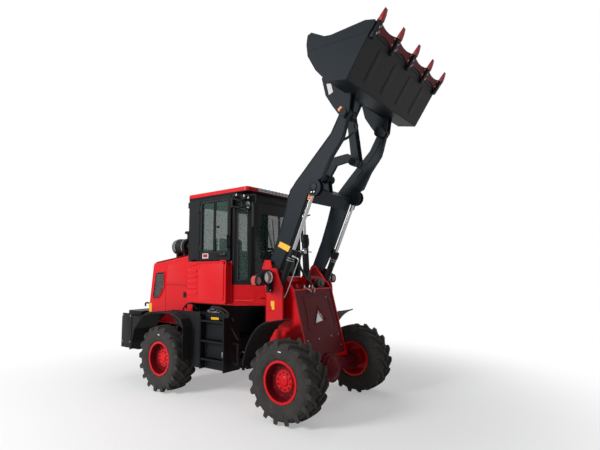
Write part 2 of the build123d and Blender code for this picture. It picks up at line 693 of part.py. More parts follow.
lamp = (672.0, 1642.0)
indicator = (836.0, 1600.0)
with BuildPart() as headlamps:
    for hand, sign in sides:
        with BuildSketch(across(1755)) as housing:
            with BuildLine():
                CenterArc((sign * lamp[0], lamp[1]), 80, 0, 360)
                CenterArc((sign * indicator[0], indicator[1]), 58, 0, 360)
            make_hull()
        extrude(housing.sketch, amount=95)
        rod((1850, sign * lamp[0], lamp[1]), (1862, sign * lamp[0], lamp[1]), 70)
        rod((1850, sign * indicator[0], indicator[1]), (1858, sign * indicator[0], indicator[1]), 45)
        block(1780, 1830, sign * tower_out_face, sign * (tower_out_face + 40), 1480, 1600)
finish(headlamps, "headlamps")

# ---- boom ---------------------------------------------------------------------------
notch = 62.0  # room behind the lift eye and rod
arm = [(1695, 1740), (1884, 2153), (1993, 2449), (2090, 2760), (2409, 3083), (2721, 3387), (2846, 3600),
       (2994, 3600), (2959, 3529), (2883, 3291), (2716, 3083), (2590, 2860),
       along(lift_eye, lift_base, -55, -20), along(lift_eye, lift_base, -45, -notch),
       along(lift_eye, lift_base, 780, -notch), (2035, 1980), (1870, 1690)]
cross_centre = (2295.0, 2710.0)
cross_size = 180.0
boom_turn = 58.0


def square_around(centre, size, turn):
    reach = size / 2 * 2 ** 0.5
    return [(centre[0] + reach * cos(radians(turn + 45 + quarter)),
             centre[1] + reach * sin(radians(turn + 45 + quarter))) for quarter in (0, 90, 180, 270)]


arm_in_y = arm_y - arm_width / 2
arm_out_y = arm_y + arm_width / 2
cheek_in_y = arm_in_y - cheek
cheek_out_y = arm_out_y + cheek
with BuildPart() as boom_arms:
    for hand, sign in sides:
        plate(arm, sign * arm_in_y, sign * arm_out_y)
        disc(boom_pivot, 97, sign * (arm_y - boss_width / 2), sign * (arm_y + boss_width / 2))
        disc(bucket_pin, 74, sign * arm_in_y, sign * arm_out_y)
        for y_from, y_to in ((cheek_in_y, arm_in_y), (arm_out_y, cheek_out_y)):
            disc(lift_eye, 108, sign * y_from, sign * y_to)
        plate(square_around(cross_centre, cross_size - 30, boom_turn), sign * cheek_in_y, sign * arm_in_y)
        disc(boom_pivot, boom_pin_radius + pin_clearance, sign * (arm_y - 60), sign * (arm_y + 60), mode=Mode.SUBTRACT)
        disc(bucket_pin, bucket_pin_radius + pin_clearance, sign * (arm_y - 60), sign * (arm_y + 60), mode=Mode.SUBTRACT)
finish(boom_arms, "boom_arms")

rocker_lug_in = rocker_width / 2 + lug_play
rocker_lug_out = rocker_lug_in + rocker_lug
with BuildPart() as boom_crossmember:
    plate(square_around(cross_centre, cross_size, boom_turn), -cheek_in_y, cheek_in_y)
    plate(square_around(cross_centre, cross_size - 24, boom_turn), 12 - cheek_in_y, cheek_in_y - 12, mode=Mode.SUBTRACT)
    for hand, sign in sides:
        bar(rocker_pivot, (2300, 2790), 60, 70, sign * rocker_lug_in, sign * rocker_lug_out)
        disc(rocker_pivot, rocker_pin_radius + pin_clearance, sign * (rocker_lug_in - 1), sign * (rocker_lug_out + 1), mode=Mode.SUBTRACT)
finish(boom_crossmember, "boom_crossmember")

# ---- rocker, link and their pins ----------------------------------------------------
with BuildPart() as rocker_pin:
    disc(rocker_pivot, rocker_pin_radius, -rocker_lug_out - 8, rocker_lug_out + 8)
    for hand, sign in sides:
        disc(rocker_pivot, 62, sign * (rocker_lug_out + 1), sign * (rocker_lug_out + 1 + pin_collar))
finish(rocker_pin, "rocker_pin")

rocker_crest = ((2440.0, 3180.0), (2640.0, 3200.0))
with BuildPart() as rocker:
    joints = (rocker_rear, rocker_pivot) + rocker_crest + (rocker_front,)
    radii = (48, 62, 60, 55, 48)
    for start, end, start_radius, end_radius in zip(joints, joints[1:], radii, radii[1:]):
        bar(start, end, start_radius, end_radius, -rocker_width / 2, rocker_width / 2)
    disc(rocker_pivot, 62, -rocker_lug_in + 0.5, rocker_lug_in - 0.5)
    disc(rocker_pivot, rocker_pin_radius + pin_clearance, -60, 60, mode=Mode.SUBTRACT)
    disc(rocker_front, rocker_pin_radius + pin_clearance, -60, 60, mode=Mode.SUBTRACT)
    disc(rocker_rear, 20, -60, 60, mode=Mode.SUBTRACT)
finish(rocker, "rocker")

link_in_y = 45.0
link_out_y = link_in_y + link_plate
with BuildPart() as link_pin:
    disc(rocker_front, rocker_pin_radius, -link_out_y - 8, link_out_y + 8)
    for hand, sign in sides:
        disc(rocker_front, 52, sign * (link_out_y + 1), sign * (link_out_y + 1 + pin_collar))
finish(link_pin, "link_pin")

with BuildPart() as link:
    for hand, sign in sides:
        bar(rocker_front, link_top, 52, 45, sign * link_in_y, sign * link_out_y)
        disc(rocker_front, rocker_pin_radius + pin_clearance, sign * (link_in_y - 1), sign * (link_out_y + 1), mode=Mode.SUBTRACT)
    disc(along(rocker_front, link_top, 250), 22, -link_in_y - 2, link_in_y + 2)
finish(link, "link")

# ---- coupler and bucket -------------------------------------------------------------
back_line = [along((2799, 4000), (2693, 4199), 167), (2799, 4000), (2943, 3832),
             along((2943, 3832), heel_point, 89)]
coupler_plate = [(2617, 4102)] + back_line + [(3018, 3740), (2995, 3600), (2920, 3526), (2850, 3590), (2770, 3704),
                                              (2671, 3867)]
coupler_ys = ((arm_in_y - 30, arm_in_y - 10), (arm_out_y + 10, arm_out_y + 28))
with BuildPart() as coupler:
    for hand, sign in sides:
        for y_from, y_to in coupler_ys:
            plate(coupler_plate, sign * y_from, sign * y_to)
            disc(bucket_pin, bucket_pin_radius + pin_clearance, sign * (y_from - 1), sign * (y_to + 1), mode=Mode.SUBTRACT)
        plate([back_line[0], back_line[1], back_line[2], (2931, 3822), (2786, 3992), (2706, 4141)],
              sign * 90, sign * (coupler_ys[1][1] - 2))
    disc((2668, 4092), 30, -coupler_ys[0][0] - 2, coupler_ys[0][0] + 2)
    bar(link_top, (2800, 3930), 60, 75, -30, 30)
    plate(back_line[:3] + [(3100, 4000), (2900, 4200)], -31, 31, mode=Mode.SUBTRACT)
finish(coupler, "coupler")

with BuildPart() as coupler_pins:
    for hand, sign in sides:
        disc(bucket_pin, bucket_pin_radius, sign * (coupler_ys[0][0] - 12), sign * (coupler_ys[1][1] + 12))
        disc(bucket_pin, 70, sign * (coupler_ys[0][0] - 1 - pin_collar), sign * (coupler_ys[0][0] - 1))
        disc(bucket_pin, 48, sign * (coupler_ys[1][1] + 1), sign * (coupler_ys[1][1] + 13))
finish(coupler_pins, "coupler_pins")

bucket_outline = [edge_point, (3560, 4330), (3446, 4363), (3306, 4358), (3012, 4349), (2930, 4364), (2750, 4470),
                  (2695, 4452), (2678, 4345), (2693, 4199), (2799, 4000), (2943, 3832), heel_point]
with BuildPart() as bucket:
    plate(bucket_outline, -bucket_y, bucket_y)
    with BuildSketch(side(bucket_plate - bucket_y)) as core:
        with BuildLine():
            Polyline(*bucket_outline, close=True)
        make_face()
        offset(amount=-bucket_plate, kind=Kind.INTERSECTION, mode=Mode.REPLACE)
    extrude(core.sketch, amount=-2 * (bucket_y - bucket_plate), mode=Mode.SUBTRACT)
    plate([(3548, 4318), (3600, 4420), (2790, 4560), (2764, 4462), (2933, 4345), (3012, 4330), (3306, 4339),
           (3446, 4344), (3530, 4300)], bucket_plate - bucket_y, bucket_y - bucket_plate, mode=Mode.SUBTRACT)
finish(bucket, "bucket")


def on_floor(u, v):
    """(x, z) of a point u beyond the bucket floor's front edge and v above its underside."""
    return along(edge_point, heel_point, -u, -v)


with BuildPart() as bucket_teeth:
    plate([on_floor(-100, -0.0), on_floor(-100, -edge_plate), on_floor(32, -edge_plate), on_floor(32, -4),
           on_floor(20, 0)], -bucket_y, bucket_y)
    for i in range(tooth_count):
        y = -tooth_span_y + i * 2 * tooth_span_y / (tooth_count - 1)
        plate([on_floor(-165, -edge_plate), on_floor(-150, -edge_plate - 26), on_floor(40, -edge_plate - 40),
               on_floor(tooth_reach, -tooth_drop), on_floor(40, -edge_plate)], y - tooth_width / 2, y + tooth_width / 2)
finish(bucket_teeth, "bucket_teeth")


# ---- cylinders ----------------------------------------------------------------------
def barrel(base, eye, length, radius, rod_radius, middle_y, eye_width, base_pin):
    """Cylinder barrel from its base pin towards its eye, with a bore for its rod."""
    bar(base, along(base, eye, radius), radius, radius, middle_y - eye_width / 2, middle_y + eye_width / 2)
    start = along(base, eye, radius * 0.9)
    end = along(base, eye, length)
    rod((start[0], middle_y, start[1]), (end[0], middle_y, end[1]), radius)
    gland = along(base, eye, length - gland_length)
    rod((gland[0], middle_y, gland[1]), (end[0], middle_y, end[1]), radius + 3)
    bottom = along(base, eye, radius + 15)
    rod((bottom[0], middle_y, bottom[1]), (gland[0], middle_y, gland[1]), radius - 9, mode=Mode.SUBTRACT)
    rod((bottom[0], middle_y, bottom[1]), (end[0], middle_y, end[1]), rod_radius + pin_clearance,
        mode=Mode.SUBTRACT)
    disc(base, base_pin + pin_clearance, middle_y - eye_width, middle_y + eye_width, mode=Mode.SUBTRACT)


for hand, sign in sides:
    with BuildPart() as lift_barrel:
        barrel(lift_base, lift_eye, lift_barrel_length, lift_barrel_radius, lift_rod_radius, sign * arm_y, 80,
               lift_pin_radius)
    finish(lift_barrel, f"lift_barrel_{hand}")
    with BuildPart() as lift_rod:
        tail = along(lift_eye, lift_base, lift_rod_length)
        rod((lift_eye[0], sign * arm_y, lift_eye[1]), (tail[0], sign * arm_y, tail[1]), lift_rod_radius)
        disc(lift_eye, 44, sign * (arm_y - lift_eye_width / 2), sign * (arm_y + lift_eye_width / 2))
    finish(lift_rod, f"lift_rod_{hand}")

with BuildPart() as tilt_barrel:
    barrel(tilt_base, rocker_rear, tilt_barrel_length, tilt_barrel_radius, tilt_rod_radius, 0, 80, 22)
finish(tilt_barrel, "tilt_barrel")

fork_in_y = rocker_width / 2 + lug_play
fork_out_y = fork_in_y + 18
with BuildPart() as tilt_rod:
    tail = along(rocker_rear, tilt_base, tilt_rod_length)
    root = along(rocker_rear, tilt_base, fork_depth)
    rod((root[0], 0, root[1]), (tail[0], 0, tail[1]), tilt_rod_radius)
    bar(root, along(rocker_rear, tilt_base, fork_depth + 25), 38, 30, -fork_out_y, fork_out_y)
    for hand, sign in sides:
        bar(rocker_rear, root, 45, 38, sign * fork_in_y, sign * fork_out_y)
finish(tilt_rod, "tilt_rod")

for hand, sign in sides:
    base = (steer_base[0], sign * steer_base[1])
    eye = (steer_eye[0], sign * steer_eye[1])
    with BuildPart() as steer_barrel:
        post(base, 34, steer_z - 24, steer_z + 24)
        end = along(base, eye, steer_barrel_length)
        start = along(base, eye, 20)
        shoulder = along(base, eye, 60)
        bottom = along(base, eye, 64)
        rod((*start, steer_z), (*end, steer_z), steer_barrel_radius - 10)
        rod((*shoulder, steer_z), (*end, steer_z), steer_barrel_radius)
        rod((*bottom, steer_z), (*end, steer_z), steer_rod_radius + pin_clearance, mode=Mode.SUBTRACT)
        post(base, 14 + pin_clearance, steer_z - 40, steer_z + 40, mode=Mode.SUBTRACT)
    finish(steer_barrel, f"steer_barrel_{hand}")
    with BuildPart() as steer_rod:
        tail = along(eye, base, steer_rod_length)
        rod((*eye, steer_z), (*tail, steer_z), steer_rod_radius)
        post(eye, 28, steer_z - 18, steer_z + 18)
    finish(steer_rod, f"steer_rod_{hand}")
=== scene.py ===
import json
import math

import bmesh
import bpy
from mathutils import Matrix, Vector

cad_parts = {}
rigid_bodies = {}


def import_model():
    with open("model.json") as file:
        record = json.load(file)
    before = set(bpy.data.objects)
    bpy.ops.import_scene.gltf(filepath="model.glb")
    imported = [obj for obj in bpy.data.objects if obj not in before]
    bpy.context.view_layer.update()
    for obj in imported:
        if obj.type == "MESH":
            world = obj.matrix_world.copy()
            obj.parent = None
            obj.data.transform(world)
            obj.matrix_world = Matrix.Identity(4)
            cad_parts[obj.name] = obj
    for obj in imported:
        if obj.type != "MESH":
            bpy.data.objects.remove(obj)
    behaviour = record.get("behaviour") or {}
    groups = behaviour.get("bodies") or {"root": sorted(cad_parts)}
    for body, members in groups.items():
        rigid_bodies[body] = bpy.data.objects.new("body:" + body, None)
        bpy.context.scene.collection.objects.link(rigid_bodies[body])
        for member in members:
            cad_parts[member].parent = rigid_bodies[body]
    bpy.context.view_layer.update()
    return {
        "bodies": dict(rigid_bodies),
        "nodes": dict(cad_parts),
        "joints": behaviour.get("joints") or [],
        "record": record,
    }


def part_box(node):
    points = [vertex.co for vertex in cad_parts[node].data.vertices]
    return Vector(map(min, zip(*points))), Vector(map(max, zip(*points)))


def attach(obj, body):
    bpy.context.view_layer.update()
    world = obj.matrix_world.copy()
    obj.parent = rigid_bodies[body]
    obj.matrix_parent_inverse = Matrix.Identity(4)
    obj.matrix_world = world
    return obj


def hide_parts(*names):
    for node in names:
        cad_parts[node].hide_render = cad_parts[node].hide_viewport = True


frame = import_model()
nodes = frame["nodes"]
sides = {"right": -1, "left": 1}


# places that the pieces below are built from, all read from the frame
def centreOf(node):
    low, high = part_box(node)
    return (low + high) / 2


originX = centreOf("tyre_rear_right").x  # pieces are placed forward of the rear axle
forward = Matrix.Translation((originX, 0, 0))


def at(x, y, z):
    return Vector((originX + x, y, z))


# shader groups and materials


def newGroup(name, inputs, outputs):
    group = bpy.data.node_groups.new(name, "ShaderNodeTree")
    for label, kind, value in inputs:
        socket = group.interface.new_socket(label, in_out="INPUT", socket_type=kind)
        socket.default_value = value
    for label, kind in outputs:
        group.interface.new_socket(label, in_out="OUTPUT", socket_type=kind)
    start = group.nodes.new("NodeGroupInput")
    end = group.nodes.new("NodeGroupOutput")
    return group, start, end


def addNode(tree, kind, links=None, **settings):
    node = tree.nodes.new(kind)
    for key, value in settings.items():
        setattr(node, key, value)
    for socket, source in (links or {}).items():
        if hasattr(source, "links"):
            tree.links.new(source, node.inputs[socket])
        else:
            node.inputs[socket].default_value = source
    return node


def makeWeathering():
    # grime that gathers low down and in broad patches
    group, start, end = newGroup("weathering", [
        ("Base", "NodeSocketColor", (0.5, 0.5, 0.5, 1)),
        ("Dirt", "NodeSocketColor", (0.2, 0.18, 0.15, 1)),
        ("Amount", "NodeSocketFloat", 0.3),
        ("Scale", "NodeSocketFloat", 3.0),
        ("Roughness", "NodeSocketFloat", 0.3),
        ("Bump", "NodeSocketFloat", 0.05),
    ], [("Color", "NodeSocketColor"), ("Roughness", "NodeSocketFloat"), ("Normal", "NodeSocketVector")])
    where = addNode(group, "ShaderNodeTexCoord")
    patches = addNode(group, "ShaderNodeTexNoise", {"Vector": where.outputs["Object"],
                                                    "Scale": start.outputs["Scale"],
                                                    "Detail": 6.0, "Roughness": 0.6})
    ramp = addNode(group, "ShaderNodeMapRange", {"Value": patches.outputs["Fac"], "From Min": 0.45,
                                                 "From Max": 0.75})
    height = addNode(group, "ShaderNodeSeparateXYZ", {"Vector": where.outputs["Object"]})
    low = addNode(group, "ShaderNodeMapRange", {"Value": height.outputs["Z"], "From Min": 1.3, "From Max": 0.1,
                                                "To Min": 0.35, "To Max": 1.0})
    mask = addNode(group, "ShaderNodeMath", {0: ramp.outputs["Result"], 1: low.outputs["Result"]},
                   operation="MULTIPLY")
    amount = addNode(group, "ShaderNodeMath", {0: mask.outputs[0], 1: start.outputs["Amount"]},
                     operation="MULTIPLY")
    mix = addNode(group, "ShaderNodeMix", {0: amount.outputs[0], 6: start.outputs["Base"],
                                           7: start.outputs["Dirt"]},
                  data_type="RGBA")
    fine = addNode(group, "ShaderNodeTexNoise", {"Vector": where.outputs["Object"], "Scale": 220.0, "Detail": 3.0})
    rough = addNode(group, "ShaderNodeMath", {0: amount.outputs[0], 1: 0.5, 2: start.outputs["Roughness"]},
                    operation="MULTIPLY_ADD")
    bump = addNode(group, "ShaderNodeBump", {"Strength": start.outputs["Bump"], "Distance": 0.002,
                                             "Height": fine.outputs["Fac"]})
    group.links.new(mix.outputs[2], end.inputs["Color"])
    group.links.new(rough.outputs[0], end.inputs["Roughness"])
    group.links.new(bump.outputs["Normal"], end.inputs["Normal"])
    return group


weathering = makeWeathering()


def makeMaterial(name, color, roughness=0.4, metallic=0.0, coat=0.0, dirt=0.25, dirtColor=(0.16, 0.13, 0.10),
                 scale=3.0, bump=0.05, **settings):
    material = bpy.data.materials.new(name)
    material.use_nodes = True
    tree = material.node_tree
    shader = tree.nodes["Principled BSDF"]
    for key, value in {"Metallic": metallic, "Coat Weight": coat, "Coat Roughness": 0.06, **settings}.items():
        shader.inputs[key].default_value = value
    worn = addNode(tree, "ShaderNodeGroup", node_tree=weathering)
    for key, value in {"Base": (*color, 1), "Dirt": (*dirtColor, 1), "Amount": dirt, "Scale": scale,
                       "Roughness": roughness, "Bump": bump}.items():
        worn.inputs[key].default_value = value
    for output, key in (("Color", "Base Color"), ("Roughness", "Roughness"), ("Normal", "Normal")):
        tree.links.new(worn.outputs[output], shader.inputs[key])
    return material


redPaint = makeMaterial("redPaint", (0.60, 0.002, 0.007), roughness=0.36, dirt=0.10, **{"Specular IOR Level": 0.22})
# painted shade: a deep red for the shaded forward faces of the front frame, the rim dishes, the tower insides and
# the front axle
paintedShadeRed = makeMaterial("paintedShadeRed", (0.11, 0.004, 0.008), roughness=0.42, dirt=0.05,
                            **{"Specular IOR Level": 0.1})
darkRedPaint = makeMaterial("darkRedPaint", (0.30, 0.010, 0.016), roughness=0.42, dirt=0.35,
                            **{"Specular IOR Level": 0.25})
blackPaint = makeMaterial("blackPaint", (0.007, 0.008, 0.009), roughness=0.45, dirt=0.08,
                          dirtColor=(0.03, 0.03, 0.03), **{"Specular IOR Level": 0.12})
slatePaint = makeMaterial("slatePaint", (0.011, 0.0155, 0.020), roughness=0.5, dirt=0.10,
                          dirtColor=(0.04, 0.04, 0.04), **{"Specular IOR Level": 0.10})
slateBar = makeMaterial("slateBar", (0.02, 0.018, 0.018), roughness=0.5, dirt=0.05)
matteBlack = makeMaterial("matteBlack", (0.006, 0.006, 0.007), roughness=0.6, dirt=0.08,
                          dirtColor=(0.03, 0.03, 0.03),
                          bump=0.2, **{"Specular IOR Level": 0.2})
rubber = makeMaterial("rubber", (0.030, 0.028, 0.026), roughness=0.82, dirt=0.6, dirtColor=(0.085, 0.075, 0.066),
                      scale=9.0, bump=0.35, **{"Specular IOR Level": 0.25})
hoseRubber = makeMaterial("hoseRubber", (0.010, 0.010, 0.010), roughness=0.5, dirt=0.1, bump=0.2,
                          **{"Specular IOR Level": 0.3})
chrome = makeMaterial("chrome", (0.34, 0.35, 0.36), roughness=0.2, metallic=1.0, dirt=0.1)
steel = makeMaterial("steel", (0.30, 0.30, 0.31), roughness=0.38, metallic=1.0, dirt=0.3)
lensSilver = makeMaterial("lensSilver", (0.42, 0.50, 0.49), roughness=0.18, metallic=0.6, dirt=0.0)
vinyl = makeMaterial("vinyl", (0.014, 0.014, 0.016), roughness=0.55, dirt=0.05, bump=0.4)
engineGrey = makeMaterial("engineGrey", (0.03, 0.032, 0.032), roughness=0.5, metallic=0.3, dirt=0.3)
yellowPlate = makeMaterial("yellowPlate", (0.84, 0.45, 0.005), roughness=0.5, dirt=0.06)
orangePlate = makeMaterial("orangePlate", (0.78, 0.22, 0.02), roughness=0.45, dirt=0.1)
amberLens = makeMaterial("amberLens", (0.75, 0.16, 0.01), roughness=0.12, coat=0.5, dirt=0.0)
redLens = makeMaterial("redLens", (0.16, 0.012, 0.010), roughness=0.12, coat=0.6, dirt=0.0)
edgePaint = makeMaterial("edgePaint", (0.10, 0.005, 0.006), roughness=0.5, dirt=0.15,
                         **{"Specular IOR Level": 0.15})
whitePaint = makeMaterial("whitePaint", (0.75, 0.76, 0.76), roughness=0.4, dirt=0.1)
brownCast = makeMaterial("brownCast", (0.055, 0.022, 0.018), roughness=0.6, dirt=0.3)
sideLens = makeMaterial("sideLens", (0.50, 0.03, 0.015), roughness=0.15, coat=0.5, dirt=0.0)
palePlate = makeMaterial("palePlate", (0.62, 0.58, 0.57), roughness=0.5, dirt=0.2)


def makeGlass(name, color, alpha):
    material = bpy.data.materials.new(name)
    material.use_nodes = True
    given = material.node_tree.nodes["Principled BSDF"].inputs
    for key, value in {"Base Color": (*color, 1), "Roughness": 0.03, "Alpha": alpha,
                       "Specular IOR Level": 0.25}.items():
        given[key].default_value = value
    return material


cabGlass = makeGlass("cabGlass", (0.045, 0.085, 0.070), 0.42)

nodeMaterials = {
    redPaint: ["hood", "panniers", "cab_floor", "cab_roof", "front_frame", "rear_axle"]
              + [f"rim_{end}_{hand}" for end in ("rear", "front") for hand in sides],
    darkRedPaint: ["bucket_teeth"],
    # painted shade: the front axle takes the deep shade red
    paintedShadeRed: ["front_axle"],
    blackPaint: ["rear_frame", "counterweight", "side_boxes", "ladders", "cab_shell",
                 "door_right", "door_left", "tilt_barrel"]
                + [f"{kind}_barrel_{hand}" for kind in ("lift", "steer") for hand in sides],
    slatePaint: ["boom_arms", "boom_crossmember", "rocker", "link", "coupler", "bucket", "rocker_pin", "link_pin",
                 "coupler_pins"],
    matteBlack: ["rear_fenders", "front_fenders", "air_cleaner", "mirrors", "steering_column", "headlamps"],
    rubber: [f"tyre_{end}_{hand}" for end in ("rear", "front") for hand in sides],
    chrome: ["tilt_rod"] + [f"{kind}_rod_{hand}" for kind in ("lift", "steer") for hand in sides],
    cabGlass: ["cab_glass", "door_right_glass", "door_left_glass"],
    vinyl: ["seat"],
    engineGrey: ["engine"],
}
for material, names in nodeMaterials.items():
    for name in names:
        mesh = nodes[name].data
        mesh.materials.clear()
        mesh.materials.append(material)
print("materials on the frame's nodes")


# camera, floor and lamps

view = {
    "place": (5.4452, -4.7887, 1.7299),  # forward of the rear axle
    "turn": math.radians(36.94),
    "rise": 0.105805,
    "roll": -0.005667,
    "lens": 25.56,
}


def makeCamera():
    data = bpy.data.cameras.new("camera")
    data.lens = view["lens"]
    data.sensor_width = 36.0
    camera = bpy.data.objects.new("camera", data)
    bpy.context.scene.collection.objects.link(camera)
    turn, rise, roll = view["turn"], view["rise"], view["roll"]
    ahead = Vector((-math.sin(turn) * math.cos(rise), math.cos(turn) * math.cos(rise), math.sin(rise)))
    right = Vector((math.cos(turn), math.sin(turn), 0))
    up = right.cross(ahead)
    rolledRight = right * math.cos(roll) + up * math.sin(roll)
    rolledUp = up * math.cos(roll) - right * math.sin(roll)
    camera.matrix_world = Matrix((
        (rolledRight.x, rolledUp.x, -ahead.x, 0),
        (rolledRight.y, rolledUp.y, -ahead.y, 0),
        (rolledRight.z, rolledUp.z, -ahead.z, 0),
        (0, 0, 0, 1),
    ))
    camera.location = at(*view["place"])
    bpy.context.scene.camera = camera


def makeLamp(name, place, target, size, power, color=(1, 1, 1)):
    data = bpy.data.lights.new(name, "AREA")
    data.shape = "RECTANGLE"
    data.size, data.size_y = size
    data.energy = power
    data.color = color
    lamp = bpy.data.objects.new(name, data)
    bpy.context.scene.collection.objects.link(lamp)
    lamp.location = place
    lamp.rotation_euler = (Vector(target) - Vector(place)).to_track_quat("-Z", "Y").to_euler()


def makeStage():
    bpy.context.scene.view_settings.view_transform = "Standard"
    mesh = bpy.data.meshes.new("floor")
    size = 60
    mesh.from_pydata([(-size, -size, 0), (size, -size, 0), (size, size, 0), (-size, size, 0)], [], [(0, 1, 2, 3)])
    floor = bpy.data.objects.new("floor", mesh)
    bpy.context.scene.collection.objects.link(floor)
    mesh.materials.append(makeFloorFinish())
    makeWorld()
    for name, lamp in lamps.items():
        makeLamp(name, **lamp)


def seenRays(tree):
    # 1 for what the eye sees straight, in a gloss or through glass
    path = addNode(tree, "ShaderNodeLightPath")
    either = addNode(tree, "ShaderNodeMath", {0: path.outputs["Is Camera Ray"], 1: path.outputs["Is Glossy Ray"]},
                     operation="MAXIMUM")
    return addNode(tree, "ShaderNodeMath", {0: either.outputs[0], 1: path.outputs["Is Transmission Ray"]},
                   operation="MAXIMUM").outputs[0]


def makeFloorFinish():
    # pale and shadowed near the machine, plain white further out
    material = bpy.data.materials.new("paleFloor")
    material.use_nodes = True
    tree = material.node_tree
    shader = tree.nodes["Principled BSDF"]
    shader.inputs["Base Color"].default_value = (0.9, 0.9, 0.9, 1)
    shader.inputs["Roughness"].default_value = 1.0
    shader.inputs["Specular IOR Level"].default_value = 0.0
    white = addNode(tree, "ShaderNodeEmission", {"Color": (1, 1, 1, 1), "Strength": 1.0})
    where = addNode(tree, "ShaderNodeTexCoord")
    reach = addNode(tree, "ShaderNodeVectorMath", {0: where.outputs["Object"]}, operation="LENGTH")
    fade = addNode(tree, "ShaderNodeMapRange", {"Value": reach.outputs["Value"], "From Min": 2.0, "From Max": 5.5,
                                                "To Min": 0.35, "To Max": 1.0}, interpolation_type="SMOOTHSTEP")
    mask = addNode(tree, "ShaderNodeMath", {0: fade.outputs["Result"], 1: seenRays(tree)}, operation="MULTIPLY")
    mix = addNode(tree, "ShaderNodeMixShader", {0: mask.outputs[0], 1: shader.outputs[0], 2: white.outputs[0]})
    tree.links.new(mix.outputs[0], tree.nodes["Material Output"].inputs["Surface"])
    return material


def makeWorld():
    world = bpy.data.worlds.new("studio")
    bpy.context.scene.world = world
    world.use_nodes = True
    tree = world.node_tree
    soft = tree.nodes["Background"]
    soft.inputs["Color"].default_value = (0.92, 0.95, 1.0, 1)
    soft.inputs["Strength"].default_value = 0.24
    white = addNode(tree, "ShaderNodeBackground", {"Color": (1, 1, 1, 1), "Strength": 1.0})
    mix = addNode(tree, "ShaderNodeMixShader", {0: seenRays(tree), 1: soft.outputs[0], 2: white.outputs[0]})
    tree.links.new(mix.outputs[0], tree.nodes["World Output"].inputs["Surface"])


lamps = {
    "keyLamp": {"place": (-2.8, -9.0, 5.4), "target": (0, 0, 1.4), "size": (3, 3), "power": 830},
    "topLamp": {"place": (-1.5, 1.0, 9.5), "target": (0, 0, 1), "size": (6, 6), "power": 160},
    "frontLamp": {"place": (9, -3, 3.5), "target": (0, 0, 2), "size": (4, 4), "power": 12},
}


makeCamera()
makeStage()
print("camera, floor and lamps")


# shapes


def onAxis(axis, depth, a, b):
    return {"x": (depth, a, b), "y": (a, depth, b), "z": (a, b, depth)}[axis]


